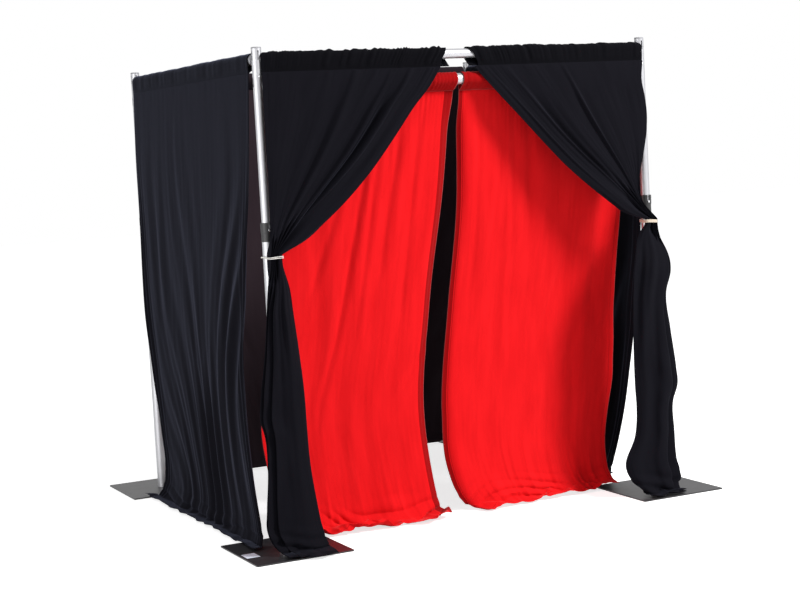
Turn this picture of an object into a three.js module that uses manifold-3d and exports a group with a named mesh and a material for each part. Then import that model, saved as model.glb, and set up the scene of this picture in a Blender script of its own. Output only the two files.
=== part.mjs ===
// Pipe and drape booth. Four telescopic uprights stand on flat square bases. Five telescopic crossbars
// hook into their slotted heads. Black drapes close three sides, two black drapes are tied back at the
// front, and two red curtains hang behind them on a lower bar.
// Millimetres, +Z up, the front faces -Y, origin on the floor midway between the uprights.
import * as THREE from "three";
import { mergeVertices } from "three/addons/utils/BufferGeometryUtils.js";
import Module from "manifold-3d";

// Overall sizes
const height = 2210; // floor to the top of an upright's cap
const width = 1980; // between the axes of the left and right uprights
const depth = 1750; // between the axes of the front and back uprights
const fit = 0.3; // gap between pieces that touch
const overrun = 5; // how far a cutter runs past the face that it cuts
const roundSteps = 20; // facets round a tube
const smallRoundSteps = 12; // facets round a button or a pin
const flatShare = Math.cos(Math.PI / roundSteps); // how far out a facet's middle stands, over the radius
const weld = 1e-3; // points closer than this are one point

// Tubes, shared by the uprights and the crossbars
const outerTube = { radius: 25.4, wall: 2.4 };
const innerTube = { radius: 22.225, wall: 2 };

// Bases
const plate = { side: 457, thick: 6.35, corner: 8, curveSteps: 5 };
const label = { x: 62, y: 78, thick: 0.5, edgeGap: 12 };
const pin = { radius: 22.6, height: 120, chamfer: 4, studRadius: 8, studPlay: 0.8, studLift: 0.5 };

// Upright: a lower tube, its collar with the lock notch, an upper tube and its cap
const collar = { top: 1450, head: 45, skirt: 38, lip: 10, headWall: 2.8, skirtWall: 1.2, edge: 2 };
const upperTubeLength = 1300;
const cap = { thick: 6, plug: 9, edge: 1.5 };
const button = { drop: 32, radius: 5, proud: 3.5, flangeRadius: 8, flange: 1.5, dome: 1.5 };

// Head slots: the hooks of the crossbars drop into them
const slot = { top: 16, length: 41, width: 6.4, footWidth: 9, footHeight: 12 };
const tierDrop = 115; // from the upper tier of slots to the lower tier

// Crossbars: the axis hangs a little under the sill of the slots
const hook = { gap: 10, thick: 5, neck: 14, tooth: 10, toothDeep: 6, rise: 18, flange: 3, plug: 25 };
const barUnderSill = -5; // height of the slot's sill over the bar's axis
const barOverlap = 380; // inner tube inside the outer tube as it stands
const barOuterLength = { front: 880, red: 1220, left: 1000, right: 1000, back: 1220 };

// Drapes
const cloth = { thick: 3, clearance: 0.6, endGap: 42, loopSteps: 10 };
const blackPocket = 58; // from the bar's axis down to the pocket's stitch line
const redPocket = 52;
const hemLift = 4; // under a hem, over the plates or the floor

// Side and back walls: how far their hems blow out, and how far they draw in along the wall
const wall = { fold: 12, folds: 8, rows: 4, columnsPerFold: 4, drawPower: 2.2 };
const leftWall = { blow: 75, drawNear: 80, drawFar: 440 };
const rightWall = { blow: -60, drawNear: 320, drawFar: 120 };
const backWall = { blow: 75, drawNear: 60, drawFar: 120 };

// Tied-back front drapes, measured from their upright's axis along the bar. A bundle keeps its tied
// width a little over and under its tie, opens to its neck, and widens through its middle to its hem.
const leftTied = {
  topWidth: 863,
  sagShare: 0.46,
  tieHeight: 1300,
  tie: { width: 78, centre: 6 },
  neck: { width: 150, centre: 6 },
  middle: { width: 205, centre: 4 },
  hem: { width: 250, centre: 14 },
};
const rightTied = {
  topWidth: 896,
  sagShare: 0.5,
  tieHeight: 1325,
  tie: { width: 82, centre: 26 },
  neck: { width: 180, centre: 38 },
  middle: { width: 205, centre: 46 },
  hem: { width: 285, centre: 80 },
};
const tied = { tieOut: 78, tieFold: 21, bundleOut: 84, bundleFold: 27, topFold: 4, folds: 5 };
const bundle = { tieMargin: 12, neckDrop: 110, middleDrop: 620 }; // from the tie
const tiedGrid = { upperRows: 7, lowerRows: 5, columnsPerFold: 4 };
const tiedPowers = { out: 0.5, fold: 1.5, lower: 2 }; // how the sweep and the rows bunch up

// Red curtains. At these shares of their drop, each edge stands at these shares of the way between
// the pockets' outer ends, and the cloth has blown in by these shares of the greatest.
const red = { blowIn: 155, fold: 10, folds: 6, rows: 7, columnsPerFold: 4 };
const redDropShares = [0, 0.25, 0.48, 0.73, 0.855, 1];
const redBlowShares = [0, 0.39, 0.84, 1, 0.97, 0.77];
const leftRed = {
  nearShares: [0, -0.012, -0.033, -0.044, -0.042, -0.035],
  farShares: [0.485, 0.459, 0.421, 0.393, 0.401, 0.424],
};
const rightRed = {
  nearShares: [1, 0.984, 0.962, 0.941, 0.93, 0.95],
  farShares: [0.503, 0.488, 0.468, 0.443, 0.454, 0.51],
};

// Tie-backs: a loop round the upright and the bundle, an oval with squared corners
const tieCord = { halfThick: 2, halfWide: 3, play: 0.8 };
const tieBand = { halfThick: 1, halfWide: 8, play: 1.5 };
const tieLoopForm = { steps: 24, sides: 6, cornerPower: 0.6 };

const wasm = await Module();
wasm.setup();

const materials = {
  aluminium: new THREE.MeshStandardMaterial({ color: 0xc9cace, roughness: 0.35, metalness: 0.9 }),
  capGrey: new THREE.MeshStandardMaterial({ color: 0x8d8f93, roughness: 0.5, metalness: 0.1 }),
  blackPlastic: new THREE.MeshStandardMaterial({ color: 0x151517, roughness: 0.5, metalness: 0 }),
  chrome: new THREE.MeshStandardMaterial({ color: 0xe6e7ea, roughness: 0.12, metalness: 1 }),
  darkSteel: new THREE.MeshStandardMaterial({ color: 0x3a3b3d, roughness: 0.6, metalness: 0.6 }),
  zincSteel: new THREE.MeshStandardMaterial({ color: 0x9a9c9f, roughness: 0.4, metalness: 0.9 }),
  blackCloth: new THREE.MeshStandardMaterial({ color: 0x0b0b0e, roughness: 0.95, metalness: 0 }),
  redCloth: new THREE.MeshStandardMaterial({ color: 0xc4141a, roughness: 0.9, metalness: 0 }),
  whiteCord: new THREE.MeshStandardMaterial({ color: 0xe8e4da, roughness: 0.8, metalness: 0 }),
  paleLabel: new THREE.MeshStandardMaterial({ color: 0xdfe6ee, roughness: 0.6, metalness: 0 }),
};

const mix = THREE.MathUtils.lerp;

// Straight-line reading of values listed along places that only rise, or only fall
function readAt(places, values, place) {
  const shares = places.slice(1).map((next, k) => (place - places[k]) / (next - places[k]));
  const found = shares.findIndex((share) => share <= 1);
  const k = found < 0 ? shares.length - 1 : found;
  return mix(values[k], values[k + 1], THREE.MathUtils.clamp(shares[k], 0, 1));
}

// Closed mesh to solid and back, for cuts and joins
function toSolid(geometry) {
  const bare = geometry.index ? geometry.toNonIndexed() : geometry.clone();
  for (const name of Object.keys(bare.attributes)) {
    if (name !== "position") bare.deleteAttribute(name);
  }
  const merged = mergeVertices(bare, weld);
  const vertProperties = merged.attributes.position.array;
  const triVerts = new Uint32Array(fullTriangles(merged.index.array));
  return new wasm.Manifold(new wasm.Mesh({ numProp: 3, vertProperties, triVerts }));
}

// Leaves out triangles that merging has shrunk to an edge
function fullTriangles(index) {
  const kept = [];
  for (let k = 0; k < index.length; k += 3) {
    const [a, b, c] = index.slice(k, k + 3);
    if (a !== b && b !== c && c !== a) kept.push(a, b, c);
  }
  return kept;
}

function toGeometry(solid) {
  const mesh = solid.getMesh();
  const position = new THREE.BufferAttribute(new Float32Array(mesh.vertProperties), mesh.numProp);
  const indexed = new THREE.BufferGeometry().setAttribute("position", position);
  indexed.setIndex(new THREE.BufferAttribute(mesh.triVerts, 1));
  const flat = indexed.toNonIndexed();
  flat.computeVertexNormals();
  return flat;
}

function cutAway(geometry, cutters) {
  const cut = cutters.reduce((rest, cutter) => rest.subtract(toSolid(cutter)), toSolid(geometry));
  return toGeometry(cut);
}

function join(geometries) {
  return toGeometry(geometries.map(toSolid).reduce((sum, next) => sum.add(next)));
}

// Turns the faces of a closed mesh outwards, whichever way its grid ran
function facingOut(geometry) {
  const p = geometry.attributes.position;
  const index = geometry.index.array;
  const corner = (k) => new THREE.Vector3().fromBufferAttribute(p, index[k]);
  let volume = 0;
  for (let k = 0; k < index.length; k += 3) {
    volume += corner(k).dot(corner(k + 1).cross(corner(k + 2)));
  }
  if (volume < 0) {
    for (let k = 0; k < index.length; k += 3) {
      [index[k + 1], index[k + 2]] = [index[k + 2], index[k + 1]];
    }
  }
  const flat = geometry.toNonIndexed();
  flat.computeVertexNormals();
  return flat;
}

// A solid of revolution about Z from a closed loop of [radius, height] points
function turned(points, steps = roundSteps) {
  const loop = [...points, points[0]].map(([r, z]) => new THREE.Vector2(r, z));
  return new THREE.LatheGeometry(loop, steps).rotateX(Math.PI / 2);
}

function tube(radius, wallThick, length) {
  const bore = radius - wallThick;
  return turned([[bore, 0], [radius, 0], [radius, length], [bore, length]]);
}

// A cylinder that reaches from z = 0 upwards
function rod(radius, length) {
  return new THREE.CylinderGeometry(radius, radius, length, roundSteps)
    .rotateX(Math.PI / 2)
    .translate(0, 0, length / 2);
}

function block(x, y, z) {
  return new THREE.BoxGeometry(x, y, z);
}

const assembly = new THREE.Group();

function add(parent, name, geometry, material) {
  const mesh = new THREE.Mesh(geometry, material);
  mesh.name = name;
  parent.add(mesh);
  return mesh;
}

// Heights that follow from the driving sizes
const slotSill = height - slot.top - slot.length;
const barHeight = { upper: slotSill - barUnderSill, lower: slotSill - barUnderSill - tierDrop };
const tubeFoot = plate.thick + fit;
const upperTubeTop = height - cap.thick - fit;
const lowerTubeTop = collar.top - collar.lip - fit;
const buttonHeight = collar.top - button.drop;
const collarHeadRadius = outerTube.radius + fit + collar.headWall;
const collarSkirtRadius = outerTube.radius + fit + collar.skirtWall;

function basePlate() {
  const half = plate.side / 2;
  const inset = half - plate.corner;
  const outline = new THREE.Shape();
  outline.absarc(inset, inset, plate.corner, 0, Math.PI / 2);
  outline.absarc(-inset, inset, plate.corner, Math.PI / 2, Math.PI);
  outline.absarc(-inset, -inset, plate.corner, Math.PI, Math.PI * 1.5);
  outline.absarc(inset, -inset, plate.corner, Math.PI * 1.5, Math.PI * 2);
  const studHole = new THREE.Path();
  studHole.absarc(0, 0, pin.studRadius + pin.studPlay, 0, Math.PI * 2);
  outline.holes.push(studHole);
  return new THREE.ExtrudeGeometry(outline, {
    depth: plate.thick,
    bevelEnabled: false,
    curveSegments: plate.curveSteps,
  });
}

// The stud goes down into the plate, and the pin stands on it
function basePin() {
  const foot = tubeFoot;
  const top = foot + pin.height;
  return turned([
    [0, pin.studLift],
    [pin.studRadius, pin.studLift],
    [pin.studRadius, foot],
    [pin.radius, foot],
    [pin.radius, top - pin.chamfer],
    [pin.radius - pin.chamfer, top],
    [0, top],
  ], smallRoundSteps);
}

// The U-shaped notch, open at the top, that the button stands in
function lockNotch() {
  const radius = button.radius + fit;
  const reach = collarHeadRadius + overrun;
  const rise = collar.top + overrun - buttonHeight;
  const round = rod(radius, reach).rotateX(Math.PI / 2).translate(0, 0, buttonHeight);
  const shaft = block(radius * 2, reach, rise).translate(0, -reach / 2, buttonHeight + rise / 2);
  return join([round, shaft]);
}

function lowerTube() {
  const whole = tube(outerTube.radius, outerTube.wall, lowerTubeTop - tubeFoot).translate(0, 0, tubeFoot);
  return cutAway(whole, [lockNotch()]);
}

function collarSleeve() {
  const bore = outerTube.radius + fit;
  const lipBore = innerTube.radius + fit;
  const bottom = collar.top - collar.head - collar.skirt;
  const shoulder = collar.top - collar.head;
  const whole = turned([
    [bore, bottom],
    [collarSkirtRadius, bottom],
    [collarSkirtRadius, shoulder],
    [collarHeadRadius, shoulder],
    [collarHeadRadius, collar.top - collar.edge],
    [collarHeadRadius - collar.edge, collar.top],
    [lipBore, collar.top],
    [lipBore, collar.top - collar.lip],
    [bore, collar.top - collar.lip],
  ]);
  return cutAway(whole, [lockNotch()]);
}

// A slot through one wall of the head, facing -Y, wider at its foot
function headSlot(sill) {
  const reach = innerTube.radius + overrun;
  const shaft = block(slot.width, reach, slot.length);
  const foot = block(slot.footWidth, reach, slot.footHeight);
  return join([
    shaft.translate(0, -reach / 2, sill + slot.length / 2),
    foot.translate(0, -reach / 2, sill + slot.footHeight / 2),
  ]);
}

function upperTube() {
  const whole = tube(innerTube.radius, innerTube.wall, upperTubeLength)
    .translate(0, 0, upperTubeTop - upperTubeLength);
  const buttonHole = rod(button.radius + fit, innerTube.radius + overrun)
    .rotateX(Math.PI / 2)
    .translate(0, 0, buttonHeight);
  const upperTier = [0, 1, 2, 3].map((turn) => headSlot(slotSill).rotateZ((turn * Math.PI) / 2));
  const lowerTier = [1, 3].map((turn) => headSlot(slotSill - tierDrop).rotateZ((turn * Math.PI) / 2));
  return cutAway(whole, [buttonHole, ...upperTier, ...lowerTier]);
}

function topCap() {
  const plugRadius = innerTube.radius - innerTube.wall - fit;
  const seat = height - cap.thick;
  return turned([
    [0, seat - cap.plug],
    [plugRadius, seat - cap.plug],
    [plugRadius, seat],
    [innerTube.radius, seat],
    [innerTube.radius, height - cap.edge],
    [innerTube.radius - cap.edge, height],
    [0, height],
  ]);
}

// Stands in the notch with its flange behind the upper tube's wall
function snapButton() {
  const bore = (innerTube.radius - innerTube.wall) * flatShare;
  const flangeFace = Math.sqrt(bore ** 2 - button.flangeRadius ** 2) - fit;
  const tip = collarHeadRadius + button.proud;
  const profile = [
    [0, flangeFace - button.flange],
    [button.flangeRadius, flangeFace - button.flange],
    [button.flangeRadius, flangeFace],
    [button.radius, flangeFace],
    [button.radius, tip - button.dome],
    [button.radius - button.dome, tip],
    [0, tip],
  ];
  return turned(profile, smallRoundSteps)
    .rotateX(Math.PI / 2)
    .translate(0, 0, buttonHeight);
}

const uprights = [
  { name: "front_left", x: -width / 2, y: -depth / 2 },
  { name: "front_right", x: width / 2, y: -depth / 2 },
  { name: "back_left", x: -width / 2, y: depth / 2 },
  { name: "back_right", x: width / 2, y: depth / 2 },
];

for (const { name, x, y } of uprights) {
  const stand = new THREE.Group();
  stand.position.set(x, y, 0);
  assembly.add(stand);
  add(stand, name + "_base_plate", basePlate(), materials.darkSteel);
  add(stand, name + "_base_pin", basePin(), materials.zincSteel);
  add(stand, name + "_lower_tube", lowerTube(), materials.aluminium);
  add(stand, name + "_collar", collarSleeve(), materials.blackPlastic);
  add(stand, name + "_snap_button", snapButton(), materials.chrome);
  add(stand, name + "_upper_tube", upperTube(), materials.aluminium);
  add(stand, name + "_top_cap", topCap(), materials.capGrey);
}

// A blank label lies near the outer edge of the front left base
function blankLabel() {
  return block(label.x, label.y, label.thick).translate(
    (label.x - width - plate.side) / 2 + label.edgeGap,
    -(depth + label.y) / 2,
    plate.thick + fit + label.thick / 2,
  );
}

add(assembly, "blank_label", blankLabel(), materials.paleLabel);

// A crossbar in its own frame: x runs from the near upright's axis to the far one's, z = 0 on its axis
function barHook(barTube) {
  const wallOut = innerTube.radius + fit;
  const wallIn = (innerTube.radius - innerTube.wall) * flatShare - fit;
  const face = innerTube.radius + hook.gap;
  const seat = barUnderSill + fit;
  const outline = new THREE.Shape();
  outline.moveTo(face, -hook.rise);
  outline.lineTo(face, hook.rise);
  outline.lineTo(wallOut, seat + hook.neck);
  outline.lineTo(wallIn - hook.toothDeep, seat + hook.neck);
  outline.lineTo(wallIn - hook.toothDeep, seat - hook.tooth);
  outline.lineTo(wallIn, seat - hook.tooth);
  outline.lineTo(wallIn, seat);
  outline.lineTo(wallOut, seat);
  outline.lineTo(wallOut, -hook.rise);
  outline.closePath();
  const claw = new THREE.ExtrudeGeometry(outline, { depth: hook.thick, bevelEnabled: false })
    .translate(0, 0, -hook.thick / 2)
    .rotateX(Math.PI / 2);
  const plugRadius = barTube.radius - barTube.wall - fit;
  const plug = turned([
    [0, -fit],
    [barTube.radius, -fit],
    [barTube.radius, hook.flange],
    [plugRadius, hook.flange],
    [plugRadius, hook.flange + hook.plug],
    [0, hook.flange + hook.plug],
  ])
    .rotateY(Math.PI / 2)
    .translate(face, 0, 0);
  return join([claw, plug]);
}

const barEnd = innerTube.radius + hook.gap + hook.flange + fit; // where a bar's tube starts

function crossbar(name, group, span) {
  const outerLength = barOuterLength[name];
  const innerStart = barEnd + outerLength - barOverlap;
  const innerLength = span - barEnd - innerStart;
  const outer = tube(outerTube.radius, outerTube.wall, outerLength).rotateY(Math.PI / 2);
  const inner = tube(innerTube.radius, innerTube.wall, innerLength).rotateY(Math.PI / 2);
  const farHook = barHook(innerTube).rotateZ(Math.PI).translate(span, 0, 0);
  add(group, name + "_bar_outer_tube", outer.translate(barEnd, 0, 0), materials.aluminium);
  add(group, name + "_bar_inner_tube", inner.translate(innerStart, 0, 0), materials.aluminium);
  add(group, name + "_bar_near_hook", barHook(outerTube), materials.zincSteel);
  add(group, name + "_bar_far_hook", farHook, materials.zincSteel);
}

const bars = [
  { name: "front", x: -width / 2, y: -depth / 2, z: barHeight.upper, turn: 0, span: width },
  { name: "red", x: -width / 2, y: -depth / 2, z: barHeight.lower, turn: 0, span: width },
  { name: "back", x: -width / 2, y: depth / 2, z: barHeight.upper, turn: 0, span: width },
  { name: "left", x: -width / 2, y: -depth / 2, z: barHeight.upper, turn: Math.PI / 2, span: depth },
  { name: "right", x: width / 2, y: -depth / 2, z: barHeight.upper, turn: Math.PI / 2, span: depth },
];

for (const { name, x, y, z, turn, span } of bars) {
  const group = new THREE.Group();
  group.position.set(x, y, z);
  group.rotation.z = turn;
  assembly.add(group);
  crossbar(name, group, span);
}

// Cloth. A side maps along (along the bar from the near upright), out (away from the booth) and z.
const sides = {
  front: (along, out, z) => new THREE.Vector3(-width / 2 + along, -depth / 2 - out, z),
  frontFromRight: (along, out, z) => new THREE.Vector3(width / 2 - along, -depth / 2 - out, z),
  left: (along, out, z) => new THREE.Vector3(-width / 2 - out, -depth / 2 + along, z),
  right: (along, out, z) => new THREE.Vector3(width / 2 + out, -depth / 2 + along, z),
  back: (along, out, z) => new THREE.Vector3(-width / 2 + along, depth / 2 + out, z),
};

// A sheet of even thickness over point(u, v), u across and v down, as one closed solid
function sheet(point, columns, rows, thick) {
  const step = 1e-3;
  const positions = [[], []];
  for (let j = 0; j <= rows; j += 1) {
    for (let i = 0; i <= columns; i += 1) {
      const u = i / columns;
      const v = j / rows;
      const across = point(Math.min(u + step, 1), v).sub(point(Math.max(u - step, 0), v));
      const down = point(u, Math.min(v + step, 1)).sub(point(u, Math.max(v - step, 0)));
      const normal = across.cross(down).setLength(thick / 2);
      positions[0].push(...point(u, v).add(normal).toArray());
      positions[1].push(...point(u, v).sub(normal).toArray());
    }
  }
  const layer = (columns + 1) * (rows + 1);
  const at = (i, j, side) => side * layer + j * (columns + 1) + i;
  const index = [];
  const quad = (a, b, c, d) => index.push(a, b, c, a, c, d);
  for (let j = 0; j < rows; j += 1) {
    for (let i = 0; i < columns; i += 1) {
      quad(at(i, j, 0), at(i + 1, j, 0), at(i + 1, j + 1, 0), at(i, j + 1, 0));
      quad(at(i, j, 1), at(i, j + 1, 1), at(i + 1, j + 1, 1), at(i + 1, j, 1));
    }
  }
  for (let i = 0; i < columns; i += 1) {
    quad(at(i, 0, 1), at(i + 1, 0, 1), at(i + 1, 0, 0), at(i, 0, 0));
    quad(at(i, rows, 0), at(i + 1, rows, 0), at(i + 1, rows, 1), at(i, rows, 1));
  }
  for (let j = 0; j < rows; j += 1) {
    quad(at(0, j, 0), at(0, j + 1, 0), at(0, j + 1, 1), at(0, j, 1));
    quad(at(columns, j, 1), at(columns, j + 1, 1), at(columns, j + 1, 0), at(columns, j, 0));
  }
  const geometry = new THREE.BufferGeometry();
  geometry.setAttribute("position", new THREE.Float32BufferAttribute(positions.flat(), 3));
  geometry.setIndex(index);
  return facingOut(geometry);
}

// A drop-shaped loop round a bar: straight down on the side of the hanging cloth, slanting on the other
function dropLoop(path, radius, drop) {
  const tipAngle = Math.atan2(-drop, -radius);
  const reach = Math.acos(radius / Math.hypot(radius, drop));
  path.absarc(0, 0, radius, tipAngle + reach, Math.PI);
  path.lineTo(-radius, -drop);
  return path;
}

// The pocket from along0 to along1, hanging side out (or in, with facing -1)
function pocket(side, barZ, barRadius, along0, along1, drop, facing) {
  const bore = barRadius + cloth.clearance;
  const outline = dropLoop(new THREE.Shape(), bore + cloth.thick, drop);
  outline.holes.push(dropLoop(new THREE.Path(), bore, drop - cloth.thick * 2));
  const length = along1 - along0;
  const section = new THREE.ExtrudeGeometry(outline, {
    depth: length,
    bevelEnabled: false,
    curveSegments: cloth.loopSteps,
  });
  const merged = mergeVertices(bareOf(section), weld);
  const p = merged.attributes.position;
  for (let k = 0; k < p.count; k += 1) {
    const placed = side(along0 + p.getZ(k), -p.getX(k) * facing, barZ + p.getY(k));
    p.setXYZ(k, placed.x, placed.y, placed.z);
  }
  return facingOut(merged);
}

function bareOf(geometry) {
  const bare = geometry.clone();
  bare.deleteAttribute("normal");
  bare.deleteAttribute("uv");
  return bare;
}

const hemOut = (barRadius) => barRadius + cloth.clearance + cloth.thick / 2;
const sheetTop = (barZ, drop) => barZ - drop + cloth.thick * 3;
const plateHem = plate.thick + hemLift;

// A wall drape: hangs from the pocket, blows out and draws in along the wall towards its hem
function wallDrape(side, span, { blow, drawNear, drawFar }) {
  const near = cloth.endGap;
  const far = span - cloth.endGap;
  const top = sheetTop(barHeight.upper, blackPocket);
  const point = (u, v) => {
    const start = near + drawNear * v ** wall.drawPower;
    const end = far - drawFar * v ** wall.drawPower;
    const fold = wall.fold * Math.sqrt(v) * Math.cos(2 * Math.PI * wall.folds * u);
    return side(mix(start, end, u), hemOut(outerTube.radius) + blow * v + fold, mix(top, plateHem, v));
  };
  return join([
    pocket(side, barHeight.upper, outerTube.radius, near, far, blackPocket, 1),
    sheet(point, wall.folds * wall.columnsPerFold, wall.rows, cloth.thick),
  ]);
}

// A pocket over any of a bar's outer tube is wide enough for it
function pocketRadius(name, along) {
  return along < barEnd + barOuterLength[name] ? outerTube.radius : innerTube.radius;
}

// A tied-back drape: sweeps from the bar down to its tie at the upright, and falls as a bundle
function tiedPoint(size, barRadius, side) {
  const top = sheetTop(barHeight.upper, blackPocket);
  const heights = [
    size.tieHeight + bundle.tieMargin,
    size.tieHeight - bundle.tieMargin,
    size.tieHeight - bundle.neckDrop,
    size.tieHeight - bundle.middleDrop,
    0,
  ];
  const stages = [size.tie, size.tie, size.neck, size.middle, size.hem];
  const widths = stages.map(({ width: wide }) => wide);
  const centres = stages.map(({ centre }) => centre);
  const [bundleTop, bundleOpens, bundleNeck] = heights;
  const wave = (u) => -Math.cos(2 * Math.PI * tied.folds * u) * Math.sin(Math.PI * u);
  const along = (u, z) => readAt(heights, centres, z) + (u - 1 / 2) * readAt(heights, widths, z);
  const upper = (u, q) => {
    const sweep = mix(cloth.endGap + size.topWidth * u, along(u, bundleTop), q);
    const ruffle = tied.topFold * q * (1 - q) + tied.tieFold * q ** tiedPowers.fold;
    const out = mix(hemOut(barRadius), tied.tieOut, q ** tiedPowers.out) + ruffle * wave(u);
    return side(sweep, out, mix(top, bundleTop, q + size.sagShare * u * q * (1 - q)));
  };
  const lower = (u, q) => {
    const z = mix(bundleTop, plateHem, q ** tiedPowers.lower);
    const opened = readAt([bundleOpens, bundleNeck], [0, 1], z);
    const out = mix(tied.tieOut, tied.bundleOut, opened);
    return side(along(u, z), out + mix(tied.tieFold, tied.bundleFold, opened) * wave(u), z);
  };
  const split = tiedGrid.upperRows / (tiedGrid.upperRows + tiedGrid.lowerRows);
  return (u, v) => (v <= split ? upper(u, v / split) : lower(u, (v - split) / (1 - split)));
}

function tiedDrape(size, barRadius, side) {
  const near = cloth.endGap;
  const columns = tied.folds * tiedGrid.columnsPerFold;
  const rows = tiedGrid.upperRows + tiedGrid.lowerRows;
  return join([
    pocket(side, barHeight.upper, barRadius, near, near + size.topWidth, blackPocket, 1),
    sheet(tiedPoint(size, barRadius, side), columns, rows, cloth.thick),
  ]);
}

// A red curtain: hangs from the lower bar behind the black drapes and blows in
function redCurtain({ nearShares, farShares }) {
  const top = sheetTop(barHeight.lower, redPocket);
  const reach = (share) => mix(cloth.endGap, width - cloth.endGap, share);
  const point = (u, v) => {
    const edges = [nearShares, farShares].map((shares) => readAt(redDropShares, shares, v));
    const fold = red.fold * Math.sqrt(v) * (1 + Math.cos(2 * Math.PI * red.folds * u));
    const blown = red.blowIn * readAt(redDropShares, redBlowShares, v);
    const out = -hemOut(outerTube.radius) - blown - fold;
    return sides.front(reach(mix(...edges, u)), out, mix(top, plateHem, v));
  };
  const ends = [nearShares[0], farShares[0]].map(reach).sort((a, b) => a - b);
  return join([
    pocket(sides.front, barHeight.lower, outerTube.radius, ...ends, redPocket, -1),
    sheet(point, red.folds * red.columnsPerFold, red.rows, cloth.thick),
  ]);
}

// A closed loop of flat cord round the upright and the drape, level at the tie's height
function tieLoop({ tieHeight, tie }, side, { halfThick, halfWide, play }) {
  const clear = collarHeadRadius + play + fit + halfThick;
  const front = tied.tieOut + tied.tieFold + cloth.thick / 2 + play + fit + halfThick;
  const middle = { along: tie.centre / 2, out: (front - clear) / 2 };
  const reach = {
    along: Math.max(tie.width / 2 + bundle.tieMargin + halfThick, clear) + middle.along,
    out: (front + clear) / 2,
  };
  const squared = (part) => Math.sign(part) * Math.abs(part) ** tieLoopForm.cornerPower;
  const path = (t) => new THREE.Vector2(
    middle.along + reach.along * squared(Math.cos(t)),
    middle.out + reach.out * squared(Math.sin(t)),
  );
  const positions = [];
  const index = [];
  const corner = (ring, k) => (ring % tieLoopForm.steps) * tieLoopForm.sides + (k % tieLoopForm.sides);
  for (let i = 0; i < tieLoopForm.steps; i += 1) {
    const turn = (2 * Math.PI) / tieLoopForm.steps;
    const centre = path(i * turn);
    const heading = path((i + 1) * turn).sub(path((i - 1) * turn)).normalize();
    for (let j = 0; j < tieLoopForm.sides; j += 1) {
      const angle = (2 * Math.PI * (j + 1 / 2)) / tieLoopForm.sides;
      const off = halfThick * Math.cos(angle);
      const z = tieHeight + halfWide * Math.sin(angle);
      positions.push(...side(centre.x + heading.y * off, centre.y - heading.x * off, z).toArray());
      index.push(corner(i, j), corner(i + 1, j), corner(i + 1, j + 1));
      index.push(corner(i, j), corner(i + 1, j + 1), corner(i, j + 1));
    }
  }
  const geometry = new THREE.BufferGeometry();
  geometry.setAttribute("position", new THREE.Float32BufferAttribute(positions, 3));
  geometry.setIndex(index);
  return facingOut(geometry);
}

const leftFront = tiedDrape(leftTied, outerTube.radius, sides.front);
const rightPocketEnd = width - cloth.endGap - rightTied.topWidth; // from the front left upright's axis
const rightFront = tiedDrape(rightTied, pocketRadius("front", rightPocketEnd), sides.frontFromRight);
add(assembly, "front_left_drape", leftFront, materials.blackCloth);
add(assembly, "front_right_drape", rightFront, materials.blackCloth);
add(assembly, "left_tie_cord", tieLoop(leftTied, sides.front, tieCord), materials.whiteCord);
add(assembly, "right_tie_band", tieLoop(rightTied, sides.frontFromRight, tieBand), materials.whiteCord);
add(assembly, "red_left_curtain", redCurtain(leftRed), materials.redCloth);
add(assembly, "red_right_curtain", redCurtain(rightRed), materials.redCloth);
add(assembly, "left_wall_drape", wallDrape(sides.left, depth, leftWall), materials.blackCloth);
add(assembly, "right_wall_drape", wallDrape(sides.right, depth, rightWall), materials.blackCloth);
add(assembly, "back_wall_drape", wallDrape(sides.back, width, backWall), materials.blackCloth);

export default assembly;
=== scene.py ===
# %% [markdown]
# # A pipe and drape booth
# Four telescopic uprights stand on flat bases and carry five crossbars. Cloth hangs from the bars by
# pockets sewn along its top. Black drapes close three sides, two more are tied back at the front, and
# two red curtains hang behind them on a lower bar. The metal frame arrives packed from CAD, in metres.
# Here it is dressed: the metal gets smooth pieces with worn finishes, and each cloth gets real folds.

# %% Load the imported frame
import math
from functools import partial

import bpy
import numpy as np
from mathutils import Matrix, Vector


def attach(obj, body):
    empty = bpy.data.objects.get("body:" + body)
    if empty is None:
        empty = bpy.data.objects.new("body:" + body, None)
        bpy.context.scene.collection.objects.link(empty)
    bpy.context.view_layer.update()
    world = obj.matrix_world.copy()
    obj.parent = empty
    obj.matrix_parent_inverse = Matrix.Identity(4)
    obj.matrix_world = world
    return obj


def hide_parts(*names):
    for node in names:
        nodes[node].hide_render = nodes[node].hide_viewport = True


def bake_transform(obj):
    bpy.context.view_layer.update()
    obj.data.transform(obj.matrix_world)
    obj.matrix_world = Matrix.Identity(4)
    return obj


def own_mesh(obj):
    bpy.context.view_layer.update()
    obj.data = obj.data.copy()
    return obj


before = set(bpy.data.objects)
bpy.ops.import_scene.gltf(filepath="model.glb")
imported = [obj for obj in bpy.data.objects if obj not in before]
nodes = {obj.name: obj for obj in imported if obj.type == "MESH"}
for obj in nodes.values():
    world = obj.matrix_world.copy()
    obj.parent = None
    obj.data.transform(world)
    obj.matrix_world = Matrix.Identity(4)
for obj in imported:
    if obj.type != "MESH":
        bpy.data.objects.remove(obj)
scene = bpy.context.scene
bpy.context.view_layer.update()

# %% [markdown]
# The sizes below are the ones that the frame was drawn with. The cloth and the smooth metal pieces are
# placed by them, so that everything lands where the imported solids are.

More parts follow.
